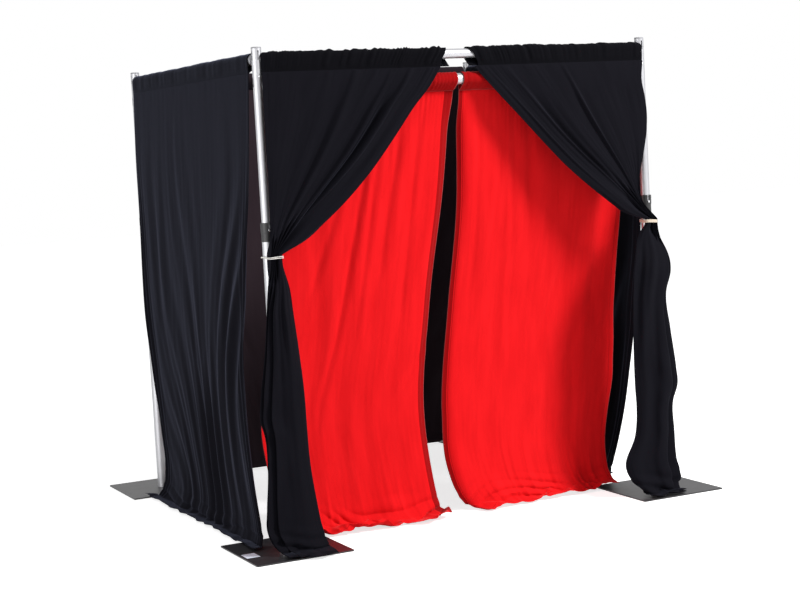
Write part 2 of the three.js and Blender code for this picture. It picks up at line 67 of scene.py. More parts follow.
# %% Sizes of the frame
WIDTH = 1.98  # between the axes of the left and right uprights
DEPTH = 1.75  # between the axes of the front and back uprights
UPPER_BAR = 2.158  # heights of the bars' axes
LOWER_BAR = 2.043
OUTER_RADIUS, OUTER_BORE = 0.0254, 0.023  # the thick tubes: lower tubes and bars' outer tubes
INNER_RADIUS, INNER_BORE = 0.022225, 0.020225  # the thin tubes that slide in them
PLATE_SIDE = 0.457
PLATE_TOP = 0.00635
POSTS = {
    "front_left": (-WIDTH / 2, -DEPTH / 2),
    "front_right": (WIDTH / 2, -DEPTH / 2),
    "back_left": (-WIDTH / 2, DEPTH / 2),
    "back_right": (WIDTH / 2, DEPTH / 2),
}
print("uprights at", POSTS)

# %% [markdown]
# ## Camera
# The photograph was taken from the front left, a little below the tops of the uprights, with a longish
# lens. Its place was worked out from the uprights, bars and bases. It also leans by three degrees, so
# the camera is built from three angles and a place rather than aimed with a constraint.

# %% Camera at the photograph's viewing angle
CAMERA_PLACE = Vector((-3.685, -7.730, 1.749))
YAW, PITCH, ROLL = math.radians(25.84), math.radians(-5.20), math.radians(-3.13)
LENS, SENSOR = 75.8, 36  # millimetres

level_right = Vector((math.cos(YAW), -math.sin(YAW), 0))
ahead = Vector((math.sin(YAW) * math.cos(PITCH), math.cos(YAW) * math.cos(PITCH), math.sin(PITCH)))
level_up = level_right.cross(ahead)
right = level_right * math.cos(ROLL) + level_up * math.sin(ROLL)
up = level_up * math.cos(ROLL) - level_right * math.sin(ROLL)

camera_data = bpy.data.cameras.new("photo_camera")
camera_data.lens = LENS
camera_data.sensor_width = SENSOR
camera_data.clip_end = 100
camera = bpy.data.objects.new("photo_camera", camera_data)
scene.collection.objects.link(camera)
camera.matrix_world = Matrix.Translation(CAMERA_PLACE) @ Matrix((right, up, -ahead)).transposed().to_4x4()
scene.camera = camera
scene.view_settings.view_transform = "Standard"
print("camera at", [round(c, 2) for c in CAMERA_PLACE])

# %% [markdown]
# ## How cloth is made here
# Each cloth is a grid of points, with columns across the width and rows down the drop. Folds run down
# a column, so a fold is a wave across the columns whose depth changes from row to row. Simulated cloth
# would also fold, but it can't be told where the folds of the photograph are, and a grid can. A little
# random warp, always from the same seed, keeps the waves from looking like a ruler's.

# %% Helpers for smooth lines and soft random hills
def blend_values(a, b, share):
    return a + (b - a) * share


def ramp(low, high, value):
    """0 below low, 1 above high, and a smooth rise between them."""
    share = np.clip((np.asarray(value, float) - low) / (high - low), 0, 1)
    return share * share * (3 - 2 * share)


def bell(off):
    """1 at 0, and fading to nothing soon beyond 1 either way."""
    return np.exp(-(off**2))


def wave(turns):
    """A row of folds, with a crest at every whole turn and a hollow halfway between."""
    return np.cos(2 * np.pi * turns)


def smooth_line(places, values, at):
    """A smooth line through values at places that rise or fall, read at any places."""
    places, values = np.asarray(places, float), np.asarray(values, float)
    if places[0] > places[-1]:
        places, values = places[::-1], values[::-1]
    at = np.clip(np.asarray(at, float), places[0], places[-1])
    slopes = np.gradient(values, places)
    k = np.clip(np.searchsorted(places, at) - 1, 0, len(places) - 2)
    span = places[k + 1] - places[k]
    t = (at - places[k]) / span
    return (
        (2 * t**3 - 3 * t**2 + 1) * values[k]
        + (t**3 - 2 * t**2 + t) * span * slopes[k]
        + (3 * t**2 - 2 * t**3) * values[k + 1]
        + (t**3 - t**2) * span * slopes[k + 1]
    )


def hills(seed, across, down, u, v):
    """Soft random hills from about -1 to 1, so many across and so many down."""
    lattice = np.random.default_rng(seed).uniform(-1, 1, (down + 4, across + 4))
    u, v = np.broadcast_arrays(np.asarray(u, float), np.asarray(v, float))

    def weights(place, count):
        cell = np.minimum((place * count).astype(int), count - 1)
        t = place * count - cell
        cubic = [(1 - t) ** 3, 3 * t**3 - 6 * t**2 + 4, -3 * t**3 + 3 * t**2 + 3 * t + 1, t**3]
        return cell, [c / 6 for c in cubic]

    column, across_weights = weights(np.clip(u, 0, 1), across)
    row, down_weights = weights(np.clip(v, 0, 1), down)
    total = np.zeros(u.shape)
    for i, wi in enumerate(down_weights):
        for j, wj in enumerate(across_weights):
            total += wi * wj * lattice[row + i, column + j]
    return total * 1.9


def ripples(seed, across, down, u, v):
    """Creased hills: narrow crests at 1, with wide soft hollows between them."""
    return 1 - np.sqrt(hills(seed, across, down, u, v) ** 2 + 0.01)


def rolls(seed, wave_length, drift, u, q):
    """Rolls that run across a cloth, rounded outwards, with sharp hollows that wander as they go."""
    return abs(np.cos(np.pi * (q / wave_length + drift * hills(seed, 5, 5, u, q))))


def seeded(form, u, v, shape=hills):
    """A short way to lay shapes over one grid, each with a seed counted on from the form's own."""
    return lambda count, *values: shape(form["seed"] + count, *values, u, v)


def landed(level, corner=0.008):
    """A hanging line that meets the floor: its height, and how far it then runs on along the floor."""
    bend = level / corner
    return corner * np.logaddexp(0, bend), corner * np.logaddexp(0, -bend)


def crests(u, table):
    """A line across the cloth that swings smoothly between crests and hollows, given as (u, height)."""
    places, heights = np.array(table).T
    k = np.clip(np.searchsorted(places, u) - 1, 0, len(places) - 2)
    t = (u - places[k]) / (places[k + 1] - places[k])
    return blend_values(heights[k], heights[k + 1], (1 - np.cos(np.pi * np.clip(t, 0, 1))) / 2)


print("hills at three places:", np.round(hills(1, 4, 4, np.array([0.1, 0.5, 0.9]), 0.5), 2))

# %% [markdown]
# A side of the booth has its own directions: along its bar, out of the booth, and up. Working in these
# lets one function hang a drape on any side.

# %% The sides of the booth
def stacked(x, y, z):
    return np.stack(np.broadcast_arrays(x, y, z), axis=-1)


SIDES = {
    "front": lambda along, out, z: stacked(along - WIDTH / 2, -DEPTH / 2 - out, z),
    "front_from_right": lambda along, out, z: stacked(WIDTH / 2 - along, -DEPTH / 2 - out, z),
    "left": lambda along, out, z: stacked(-WIDTH / 2 - out, along - DEPTH / 2, z),
    "right": lambda along, out, z: stacked(WIDTH / 2 + out, along - DEPTH / 2, z),
    "back": lambda along, out, z: stacked(along - WIDTH / 2, DEPTH / 2 + out, z),
}
FLOOR_GAP, PLATE_GAP = 0.002, 0.0015  # between a hem and the floor, and between it and a base plate
PLATE_SLOPE = 0.03  # how far from a plate a hem starts to climb it


def ground(points, beyond=0.0):
    """Height of what is under a hem: the floor, or a base plate and so far beyond its sides."""
    under = np.full(points.shape[:-1], FLOOR_GAP)
    edge = PLATE_SIDE / 2
    for x, y in POSTS.values():
        reach = np.maximum(abs(points[..., 0] - x) - beyond, abs(points[..., 1] - y))
        on_plate = 1 - ramp(edge, edge + PLATE_SLOPE, reach)
        under = np.maximum(under, blend_values(FLOOR_GAP, PLATE_TOP + PLATE_GAP, on_plate))
    return under


print("sides", list(SIDES))

# %% [markdown]
# A pocket is the cloth's top edge folded over and sewn down, and the bar runs through it. Seen from its
# end it is a drop: up the back of the bar, over it, and straight down the hanging side to the stitches.

# %% The path of a pocket round its bar
POCKET_RADIUS = OUTER_RADIUS + 0.0021  # the cloth just clears a bar's thick tube
BLACK_POCKET, RED_POCKET = 0.058, 0.052  # from a bar's axis down to the stitches
SEAM_GAP = 0.002  # between the two layers at the stitches


def pocket_path(drop, radius=POCKET_RADIUS):
    """Points (out, height) and outward directions, from the back stitches to the front ones."""
    stitch = np.array([radius - SEAM_GAP, -drop])
    leave = math.atan2(stitch[1], stitch[0]) - math.acos(radius / math.hypot(*stitch)) + 2 * math.pi
    angles = np.linspace(leave, 0, 18)
    round_bar = np.stack([np.cos(angles), np.sin(angles)], -1)
    back = np.linspace(stitch, round_bar[0] * radius, 9)[:-1]
    front = np.linspace((radius, 0), (radius, -drop), 11)[1:]
    points = np.concatenate([back, round_bar * radius, front])
    outward = np.concatenate([np.tile(round_bar[0], (8, 1)), round_bar, np.tile((1.0, 0.0), (10, 1))])
    return points, outward


def between_stitches(share):
    """How free the cloth is to gather: not at the stitches, and fully round the bar."""
    return ramp(0, 0.12, share) * (1 - ramp(0.86, 1, share))


def pocket_rows(place, bar_height, drop, along, gather, facing=1):
    """The pocket's grid. gather(share) is how far the cloth stands off the bar, row by row."""
    points, outward = pocket_path(drop)
    share = np.linspace(0, 1, len(points))[:, None]
    stand = gather(share)
    out = points[:, :1] + outward[:, :1] * stand
    up_by = points[:, 1:] + outward[:, 1:] * stand
    return place(along(share), out * facing, bar_height + up_by)


POCKET_ROWS = len(pocket_path(BLACK_POCKET)[0])
print("rows of points in a pocket:", POCKET_ROWS)

# %% [markdown]
# The grid becomes a mesh with a map in metres, so that a weave has its true size on any cloth. Solidify
# then gives the sheet the thickness of velvet, and each layer keeps the grid's smooth shading.

# %% Grid of points to cloth
CLOTH_THICK = 0.0014
measured_down = {}  # each cloth's (stitches, hem), metres down from its sewn-down edge


def only(piece):
    """Selects one piece alone, because an operator acts on all that is selected."""
    bpy.ops.object.select_all(action="DESELECT")
    piece.select_set(True)
    bpy.context.view_layer.objects.active = piece


def mapped_piece(name, points, faces, map_name, corners):
    """A piece from points and faces, with a map that is given corner by corner."""
    mesh = bpy.data.meshes.new(name)
    mesh.from_pydata(points.reshape(-1, 3).tolist(), [], faces.tolist())
    uv = mesh.uv_layers.new(name=map_name)
    uv.data.foreach_set("uv", np.asarray(corners, np.float32).ravel())
    piece = bpy.data.objects.new(name, mesh)
    scene.collection.objects.link(piece)
    only(piece)
    return piece


def cloth_piece(name, points, flat):
    rows, columns = points.shape[0] - 1, points.shape[1] - 1
    corner = np.arange((rows + 1) * (columns + 1)).reshape(rows + 1, columns + 1)
    quads = (corner[:-1, :-1], corner[1:, :-1], corner[1:, 1:], corner[:-1, 1:])
    faces = np.stack(quads, -1).reshape(-1, 4)
    steps = np.linalg.norm(np.diff(points, axis=0), axis=-1).mean(axis=1)
    down = np.concatenate([[0], np.cumsum(steps)])
    measured_down[name] = float(down[POCKET_ROWS - 1]), float(down[-1])
    across = np.linspace(0, flat[0], columns + 1)
    place = np.stack(np.meshgrid(across, -down), -1).reshape(-1, 2)
    piece = mapped_piece(name, points, faces, "cloth_map", place[faces.reshape(-1)])
    piece.data.polygons.foreach_set("use_smooth", [True] * len(faces))
    thickness = piece.modifiers.new("thickness", "SOLIDIFY")
    thickness.thickness = CLOTH_THICK
    thickness.offset = 0
    bpy.ops.object.modifier_apply(modifier=thickness.name)
    print(name, len(piece.data.polygons), "faces, drop", round(float(down[-1]), 3), "m")
    return piece


# %% [markdown]
# ## Walls
# The two side walls and the back wall hang from full-length pockets. Their tops are nearly flat, and
# soft folds deepen on the way down. The breeze blows the left and back walls out and the right wall in,
# and draws their free edges along. The edges are read from tables of height and place.

# %% The wall drapes
BLACK_FLAT_LENGTH = 2.3
TOP_OF_SHEET = UPPER_BAR - BLACK_POCKET
HEM_LIFT = 0.003
FOOT = 0.045  # how much of a wall's hem lies on the floor

WALLS = {
    "left_wall": {
        "side": "left", "flat": (1.85, BLACK_FLAT_LENGTH), "folds": 6, "seed": 11, "bodies": "left",
        "near": (
            (2.1, 1.87, 1.6, 1.45, 1.3, 1.12, 0.79, 0.62, 0.45, 0.3, 0.18, 0.08, 0.0),
            (0.034, 0.050, 0.072, 0.092, 0.112, 0.140, 0.185, 0.175, 0.150, 0.120, 0.080, 0.040, 0.020),
        ),
        "far": (
            (2.1, 1.726, 1.511, 1.006, 0.698, 0.35, 0.24, 0.15, 0.07, 0.0),
            (1.712, 1.705, 1.680, 1.608, 1.510, 1.405, 1.380, 1.395, 1.47, 1.56),
        ),
        "blow": ((2.1, 1.5, 0.8, 0.3, 0.0), (0.0, 0.020, 0.048, 0.062, 0.070)),
    },
    "right_wall": {
        "side": "right", "flat": (1.85, BLACK_FLAT_LENGTH), "folds": 6, "seed": 23, "bodies": "right",
        "near": ((2.1, 1.2, 0.649, 0.362, 0.143, 0.0), (0.034, 0.070, 0.160, 0.235, 0.330, 0.420)),
        "far": ((2.1, 1.4, 0.7, 0.2, 0.0), (1.712, 1.700, 1.660, 1.610, 1.590)),
        "blow": ((2.1, 1.5, 0.8, 0.3, 0.0), (0.0, -0.020, -0.044, -0.058, -0.062)),
    },
    "back_wall": {
        "side": "back", "flat": (2.1, BLACK_FLAT_LENGTH), "folds": 7, "seed": 37, "bodies": "back",
        "near": ((2.1, 1.4, 0.7, 0.0), (0.034, 0.045, 0.070, 0.100)),
        "far": ((2.1, 1.4, 0.7, 0.0), (1.944, 1.930, 1.890, 1.820)),
        "blow": ((2.1, 1.5, 0.8, 0.3, 0.0), (0.0, 0.018, 0.046, 0.064, 0.075)),
    },
}
FIRST_ROWS = np.array([0.003, 0.007, 0.013, 0.021, 0.032])  # metres under the stitches


def hang_shares(rows, drop, foot_rows=0, foot_from=1.0):
    """Shares of the drop for the rows under the stitches, close together at the top and at the foot."""
    first = FIRST_ROWS / drop
    body = np.linspace(first[-1], foot_from, rows - foot_rows - len(first) + 1)
    foot = np.linspace(foot_from, 1, foot_rows + 1)[1:]
    return np.concatenate([first[:-1], body, foot])[:, None]


# %% [markdown]
# The wide folds of a wall slant on the way down, because the breeze pulls its foot along, and narrow
# ones ride on them. Both deepen away from the bar. The free edges flutter a little more than the rest.
# The sheet bends where it meets the floor and lies on it in small rolls.

# %% The folds of a wall, with depths at shares of the drop
WIDE_FOLDS = ((0, 0.15, 0.35, 0.6, 0.85, 1), (0.0, 0.0006, 0.0028, 0.0052, 0.0048, 0.0030))
NARROW_FOLDS = ((0, 0.15, 0.45, 0.8, 1), (0.0, 0.0002, 0.0007, 0.0009, 0.0005))
NARROW_PER_WIDE = 2.7
NEAR_SLANT, FAR_SLANT = 0.24, 0.46  # shares of the width that the folds move along on their way down
EDGE_FOLD, EDGE_REACH, EDGE_WAVE = 0.0060, 0.060, 0.034  # depth, breadth and length of an edge's flutter
SWAY, BELLY = 0.010, 0.012  # slow wandering along the wall, and out of it
WALL_CREASE, WALL_PULL = 0.0004, 0.0005  # fine creases, and pulls under the stitches
HEM_ROLL, HEM_ROLL_SHARE = 0.010, 0.030  # depth of the rolls, and their length as a share of the drop


def wall_drape(form, columns=200, rows=190):
    seed, place = form["seed"], SIDES[form["side"]]
    u = np.linspace(0, 1, columns + 1)[None, :]
    near_top, far_top = form["near"][1][0], form["far"][1][0]
    pleats = hills(seed, 70, 2, u, 0.5)

    def gather(share):
        stand = 0.0016 + 0.0011 * pleats + 0.0012 * hills(seed + 1, 26, 3, u, share)
        return between_stitches(share) * stand

    def pocket_along(share):
        return blend_values(near_top, far_top, u) + 0 * share

    pocket = pocket_rows(place, UPPER_BAR, BLACK_POCKET, pocket_along, gather)
    q = hang_shares(rows, TOP_OF_SHEET, foot_rows=40, foot_from=0.90)
    hill, ripple, roll = (seeded(form, u, q, shape) for shape in (hills, ripples, rolls))
    z = blend_values(TOP_OF_SHEET, 0.0, q)
    height, on_floor = landed(blend_values(TOP_OF_SHEET, -FOOT, q) - 0.004)
    near, far = smooth_line(*form["near"], z), smooth_line(*form["far"], z)
    along = blend_values(near, far, u) + SWAY * hill(2, 3, 5) * ramp(0, 0.3, q)
    lean = ramp(0.15, 1.05, q) * (FAR_SLANT * ramp(0.30, 0.85, u) - NEAR_SLANT * (1 - ramp(0.1, 0.5, u)))
    warp = 1.1 * hill(3, 4, 3) + 0.25 * hill(4, 8, 5)
    strength = 0.25 + 1.9 * abs(hill(5, 8, 4))
    wide = smooth_line(*WIDE_FOLDS, q) * strength * wave(form["folds"] * (u + lean) + warp)
    wide = wide * (0.3 + 0.7 * ramp(0, 0.1, u))
    narrow = smooth_line(*NARROW_FOLDS, q) * (1 + 0.9 * hill(6, 12, 4))
    narrow = narrow * wave(NARROW_PER_WIDE * form["folds"] * (u + lean) + 1.6 * warp)
    crease = WALL_CREASE * hill(7, 110, 12) * ramp(0.02, 0.3, q)
    pulls = WALL_PULL * pleats * ramp(0, 0.006, q) * np.exp(-q / 0.05)
    edge = np.minimum(u, 1 - u) * (far - near)
    flutter = EDGE_FOLD * bell(edge / EDGE_REACH) * wave(edge / EDGE_WAVE + 0.3 * warp)
    out = POCKET_RADIUS + smooth_line(*form["blow"], z) + wide + narrow + crease + pulls
    out = out + flutter * ramp(0.1, 0.4, q)
    out = out + BELLY * hill(9, 3, 3) * ramp(0.1, 0.7, q) + on_floor
    out = out + HEM_ROLL * roll(12, HEM_ROLL_SHARE, 1.3) * ramp(0.92, 0.975, q)
    sheet = place(along, out, height)
    rumple = 0.004 + 0.006 * ripple(10, 14, 30)
    sheet[..., 2] += (ground(sheet) + HEM_LIFT) * ramp(0.93, 0.99, q) + rumple * ramp(0.97, 0.99, q)
    return np.concatenate([pocket, sheet])


walls = {}
for wall_name, form in WALLS.items():
    walls[wall_name] = cloth_piece(wall_name + "_cloth", wall_drape(form), form["flat"])

# %% [markdown]
# ## Tied-back front drapes
# These start flat at the bar, sweep down to a tie at the upright, and fall below it as a soft bundle.
# The free edge rolls into a wide band with a deep hollow beside it, and finer folds fan out from the
# tie. So the crests and hollows are listed one by one, as heights across the cloth. Below the tie the
# cloth is stacked in flat layers, each in front of the one before, and the band hangs over them all.

# %% Outlines and folds of the tied drapes, from their upright's axis along the bar
TIED_FLAT = (1.05, BLACK_FLAT_LENGTH)
BAND = 0.78  # share of the cloth where the band along the free edge starts
BAND_AT_TIE = 0.42  # where the band starts at the tie, as a share of the bundle
TIE_OUT, TIE_DEPTH = 0.078, 0.0205  # from the upright's axis to the bundle's middle, and half its depth
TIE_MARGIN = 0.012  # the bundle keeps its tied width this far over and under the tie


def pleats_in_tie(hollow):
    """The even pleats that a tie squeezes the cloth into, and the drape's own hollow at the band."""
    return (
        (0, -1), (0.07, 1), (0.15, -1), (0.24, 1), (0.33, -1), (0.41, 1), (0.465, -1), (0.52, 1),
        (0.57, -1), (0.62, 1), (0.665, -1), (0.72, 1), (BAND, hollow), (0.88, 1), (0.96, 0.9), (1, 0.1),
    )


# start, end and tie: the edges at the bar, under the stitches and in the tie. gathers and slant: the
# pocket's pleats. fold: depth of the folds. sag: how much lower the free edge hangs on the way down.
# hollow: the pleat beside the band. panel: where the band starts across the bundle. neck_panel: the same
# near the tie. neck_band: the same in the pleats just under it. sight: how far a layer moves aside for
# standing in front. foot: how much of the cloth lies on the floor.
TIED = {
    "front_left": {
        "side": "front", "seed": 51, "tie_height": 1.300, "tie": (-0.031, 0.030),
        "start": 0.031, "start_at_stitch": 0.008, "end": 0.926, "end_at_stitch": 0.880,
        "gathers": 0.0036, "slant": -0.030, "fold": 0.0190, "sag": 0.46, "hollow": -0.9,
        "neck_panel": 0.24, "neck_band": 0.42, "panel": 0.24, "sight": -0.39, "foot": 0.105,
        "crests": (
            (0, -0.1), (0.12, 0.15), (0.25, -0.15), (0.36, 0.15), (0.44, -0.5), (0.485, 0.8), (0.55, 0.1),
            (0.60, 0.1), (0.645, -0.5), (0.675, 1.1), (0.705, 0.3), (0.74, -1.1), (0.775, 1.4), (0.805, 0.9),
            (0.86, 0.5), (0.93, 0.9), (1, 0.3),
        ),
        "post_edge": (
            (2.1, 1.95, 1.8, 1.6, 1.45, 1.36, 1.312),
            (0.006, -0.001, -0.006, -0.009, -0.013, -0.021, -0.031),
        ),
        "free_edge": (
            (2.1, 2.0, 1.929, 1.817, 1.609, 1.499, 1.433, 1.361, 1.312),
            (0.880, 0.800, 0.729, 0.634, 0.448, 0.328, 0.242, 0.140, 0.030),
        ),
        "outline": (
            (1.312, 1.288, 1.16, 1.02, 0.889, 0.68, 0.60, 0.54, 0.40, 0.20, 0.10, 0.04, 0.0),
            (
                -0.031, -0.031, -0.054, -0.070, -0.085, -0.118, -0.124,
                -0.110, -0.106, -0.122, -0.124, -0.100, -0.080,
            ),
            (0.030, 0.030, 0.053, 0.067, 0.079, 0.093, 0.094, 0.095, 0.100, 0.124, 0.139, 0.149, 0.152),
        ),
    },
    "front_right": {
        "side": "front_from_right", "seed": 67, "tie_height": 1.325, "tie": (0.000, 0.062),
        "start": 0.031, "start_at_stitch": 0.006, "end": 0.952, "end_at_stitch": 0.905,
        "gathers": 0.0022, "slant": 0.030, "fold": 0.0125, "sag": 0.50, "hollow": -0.15,
        "neck_panel": 0.10, "neck_band": 0.13, "panel": 0.16, "sight": 0.67, "foot": 0.065,
        "crests": (
            (0, 0), (0.08, 0.2), (0.16, -0.1), (0.27, 0.1), (0.38, -0.1), (0.44, -0.4), (0.465, 0.9),
            (0.49, -0.2), (0.55, 0.0), (0.62, 0.2), (0.68, -0.2), (0.74, -1.2), (0.775, 1.2), (0.80, 0.6),
            (0.86, 0.4), (0.885, 0.5), (0.905, 1.1), (0.93, 0.4), (1, 0.2),
        ),
        "post_edge": (
            (2.1, 2.01, 1.93, 1.848, 1.75, 1.645, 1.541, 1.47, 1.41, 1.37, 1.337),
            (0.006, 0.024, 0.012, 0.007, 0.018, 0.046, 0.076, 0.082, 0.062, 0.030, 0.0),
        ),
        "free_edge": (
            (2.1, 2.064, 1.988, 1.841, 1.721, 1.612, 1.544, 1.462, 1.414, 1.372, 1.337),
            (0.930, 0.903, 0.834, 0.694, 0.582, 0.475, 0.398, 0.295, 0.232, 0.170, 0.062),
        ),
        "outline": (
            (
                1.337, 1.313, 1.28, 1.25, 1.19, 1.13, 1.08, 0.99, 0.80,
                0.612, 0.525, 0.454, 0.30, 0.16, 0.08, 0.03, 0.0,
            ),
            (
                0.0, 0.0, -0.008, -0.022, -0.052, -0.069, -0.070, -0.043, -0.060,
                -0.085, -0.090, -0.062, -0.058, -0.062, -0.075, -0.056, -0.045,
            ),
            (
                0.062, 0.066, 0.096, 0.114, 0.130, 0.138, 0.144, 0.152, 0.162,
                0.166, 0.165, 0.162, 0.178, 0.238, 0.208, 0.168, 0.160,
            ),
        ),
    },
}


def layered(edges, panel, u, drift):
    """Across and out for a bundle of stacked layers. edges are (outer, inner) for each row."""
    outer, inner = edges
    middle = (outer + inner) / 2
    start = blend_values(outer, inner, panel)
    layers = (
        (0.0, middle, 0.050), (0.12, outer + 0.010, 0.076), (0.25, inner - 0.050, 0.062),
        (0.38, outer, 0.094), (0.51, inner - 0.062, 0.079), (0.63, outer + 0.014, 0.110),
        (0.71, middle + 0.010, 0.103), (BAND + 0.01, start, 0.124),
        (0.84, blend_values(start, inner, 0.24), 0.131), (0.92, blend_values(start, inner, 0.62), 0.128),
        (1.0, inner, 0.118),
    )
    places = np.array([place for place, *_ in layers])
    across = np.concatenate([np.broadcast_to(value, outer.shape) for _, value, _ in layers], axis=1)
    across[:, 1:-3] += drift[:, :-1] * 0.008
    outs = np.array([out for *_, out in layers])
    columns = u.ravel()
    return (
        np.stack([smooth_line(places, row, columns) for row in across]),
        smooth_line(places, outs, columns)[None, :],
    )


# %% [markdown]
# A tied drape is made in three stretches that meet row by row: the gathered pocket, the sweep from the
# bar to the tie, and the bundle under it. In the sweep, the listed crests fade into the even pleats
# that the tie squeezes the cloth into. Under the tie, those pleats open into the flat layers.

# %% The three stretches of a tied drape
PLEATS = 34  # in the gathered pockets of the tied drapes and the red curtains
BAND_ON_THE_WAY = ((0, 0.4, 0.7, 0.9, 1), (0.84, 0.79, 0.64, 0.50, BAND_AT_TIE))  # from bar to tie
HOLLOWS_COME_IN = (0.05, 0.24)  # shares of the way. Higher up, the lower bar is close behind the cloth
LAYERS_OPEN = 0.24  # how far under the tie the pleats have opened into layers


def banded(u, start):
    """Shares across a row where the band starts at another share than BAND."""
    return np.where(u < BAND, u * start / BAND, start + (u - BAND) * (1 - start) / (1 - BAND))


def tied_gathers(form, at):
    """Uneven pleats at shares of the width, as heights."""
    seed = form["seed"]
    uneven = 3.4 * hills(seed, 11, 1, at, 0.5)
    waves = wave(PLEATS * at + uneven) * (0.10 + 0.70 * abs(hills(seed + 13, 19, 1, at, 0.5)))
    waves = waves + 1.7 * hills(seed + 15, 84, 1, at, 0.5)
    return form["gathers"] * waves * (0.55 + 0.6 * ramp(0.2, 0.8, at))


def tied_pocket(form, u):
    def gather(share):
        slanted = tied_gathers(form, np.clip(u + form["slant"] * (1 - share), 0, 1))
        stand = form["gathers"] + slanted + 0.0010 * hills(form["seed"] + 1, 30, 3, u, share)
        return between_stitches(share) * np.maximum(stand, 0.0003)

    def pocket_along(share):
        start = blend_values(form["start"], form["start_at_stitch"], ramp(0.50, 0.66, share))
        return blend_values(start, blend_values(form["end"], form["end_at_stitch"], ramp(0.45, 1, share)), u)

    return pocket_rows(SIDES[form["side"]], UPPER_BAR, BLACK_POCKET, pocket_along, gather)


def bar_to_tie(form, u, at_tie, rows=100):
    tie_top = form["tie_height"] + TIE_MARGIN
    q = hang_shares(rows, TOP_OF_SHEET - tie_top)
    hill, ripple = seeded(form, u, q), seeded(form, u, q, ripples)
    z = blend_values(TOP_OF_SHEET, tie_top, q + form["sag"] * u * q * (1 - q))
    share = banded(u, smooth_line(*BAND_ON_THE_WAY, q))
    at_bar = blend_values(form["start_at_stitch"], form["end_at_stitch"], share)
    along = blend_values(at_bar, blend_values(*form["tie"], share), q)
    post_off = smooth_line(*form["post_edge"], z[:, :1]) - along[:, :1]
    free_off = smooth_line(*form["free_edge"], z[:, -1:]) - along[:, -1:]
    along = along + post_off * (1 - share) ** 3 + free_off * share**2.5
    swing = np.sin(np.pi * np.clip(q, 0, 1) ** 0.60) ** 0.9
    folds = form["fold"] * swing * crests(u, form["crests"]) * (1 + 0.25 * hill(2, 8, 2))
    late = ramp(blend_values(0.86, 0.45, ramp(0.3, 0.8, u)), 1, q) ** 1.2
    droop = 0.007 * hill(3, 4, 3) * np.sin(np.pi * q)
    crease = 0.0008 * hill(4, 90, 8) * ramp(0, 0.05, q)
    pulls = 0.8 * tied_gathers(form, u) * ramp(0, 0.009, q) * np.exp(-q / 0.12)
    relief = droop + crease + pulls + blend_values(folds, TIE_DEPTH * at_tie, late)
    relief = np.where(relief < 0, relief * ramp(*HOLLOWS_COME_IN, q), relief)
    crumple = 0.007 * ripple(14, 12, 9) * np.exp(-((q - 0.88) ** 2) / 0.006)
    crumple = crumple * (1 - ramp(0.3, 0.6, u))
    out = blend_values(POCKET_RADIUS, TIE_OUT, np.sqrt(q)) + relief
    return SIDES[form["side"]](along, out + crumple, z)


def bundle_ripples(form, u, t):
    """Soft ripples of the layers with long folds and a fan on the band, and where the band is."""
    hill = seeded(form, u, t)
    on_band = ramp(BAND - 0.02, BAND + 0.05, u)
    soft = 0.0065 * hill(6, 9, 4) + 0.0020 * hill(7, 44, 16)
    across_band = (u - BAND) / (1 - BAND)
    long_folds = wave(1.7 * across_band + 0.08 + 0.4 * hill(8, 3, 4))
    fanned = wave(4.6 * across_band + 0.5 * hill(16, 4, 3)) * np.exp(-t / 0.30)
    return soft + on_band * (0.0080 * long_folds + 0.0055 * fanned), on_band


def tie_to_hem(form, u, at_tie, rows=110):
    seed, tie_height, place = form["seed"], form["tie_height"], SIDES[form["side"]]
    t = np.linspace(0, 1, rows + 1)[1:, None]
    hill, ripple, roll = (seeded(form, u, t, shape) for shape in (hills, ripples, rolls))
    level = blend_values(tie_height + TIE_MARGIN, -form["foot"], blend_values(t, t**1.6, 0.5))
    z = np.maximum(level, 0)
    height, on_floor = landed(level - 0.003)
    outer, inner = (smooth_line(form["outline"][0], edge, z) for edge in form["outline"][1:])
    opened = 1 - ramp(tie_height - LAYERS_OPEN, tie_height - TIE_MARGIN, z)
    near_tie = ramp(tie_height - 0.55, tie_height - 0.25, z)
    panel = blend_values(form["panel"], form["neck_panel"], near_tie)
    knots = np.linspace(0, 1, 8)[None, :]
    across, layer_out = layered((outer, inner), panel, u, hills(seed + 5, 7, 7, knots, t))
    neck_band = blend_values(BAND_AT_TIE, form["neck_band"], ramp(TIE_MARGIN, 0.085, tie_height - z))
    neck_along = blend_values(outer, inner, banded(u, neck_band))
    neck_out = TIE_OUT + TIE_DEPTH * (1 - opened) ** 1.5 * at_tie
    soft, on_band = bundle_ripples(form, u, t)
    slack = bell((z - 0.56) / 0.16) * (1 - ramp(0.80, 0.90, u))  # loose cloth at this height creases
    soft = soft + 0.020 * slack * ripple(17, 12, 22)
    layer_out = layer_out + soft * (0.5 + 0.5 * on_band)
    along, out = blend_values(neck_along, across, opened), blend_values(neck_out, layer_out, opened)
    along = along + opened * form["sight"] * (out - 0.090)
    hem = 1 - ramp(0.0, 0.10, z)
    out = out + hem * (0.012 + 0.010 * hill(11, 12, 2)) + on_floor
    out = out + 0.022 * roll(18, 0.040, 1.5) * (1 - ramp(0.02, 0.16, z))
    lower = place(along, out, height)
    rumple = 0.004 + 0.008 * ripple(12, 14, 40)
    lower[..., 2] += (ground(lower) + HEM_LIFT) * (1 - ramp(0, 0.10, z)) + rumple * (1 - ramp(0, 0.02, z))
    return lower


def tied_drape(form, columns=200):
    u = np.linspace(0, 1, columns + 1)[None, :]
    at_tie = crests(u, pleats_in_tie(form["hollow"]))
    hung = np.concatenate([bar_to_tie(form, u, at_tie), tie_to_hem(form, u, at_tie)])
    calm = hung.copy()  # each column takes in its neighbours, which calms sharp ripples
    calm[:, 1:-1] = (hung[:, :-2] + 2 * hung[:, 1:-1] + hung[:, 2:]) / 4
    return np.concatenate([tied_pocket(form, u), calm])


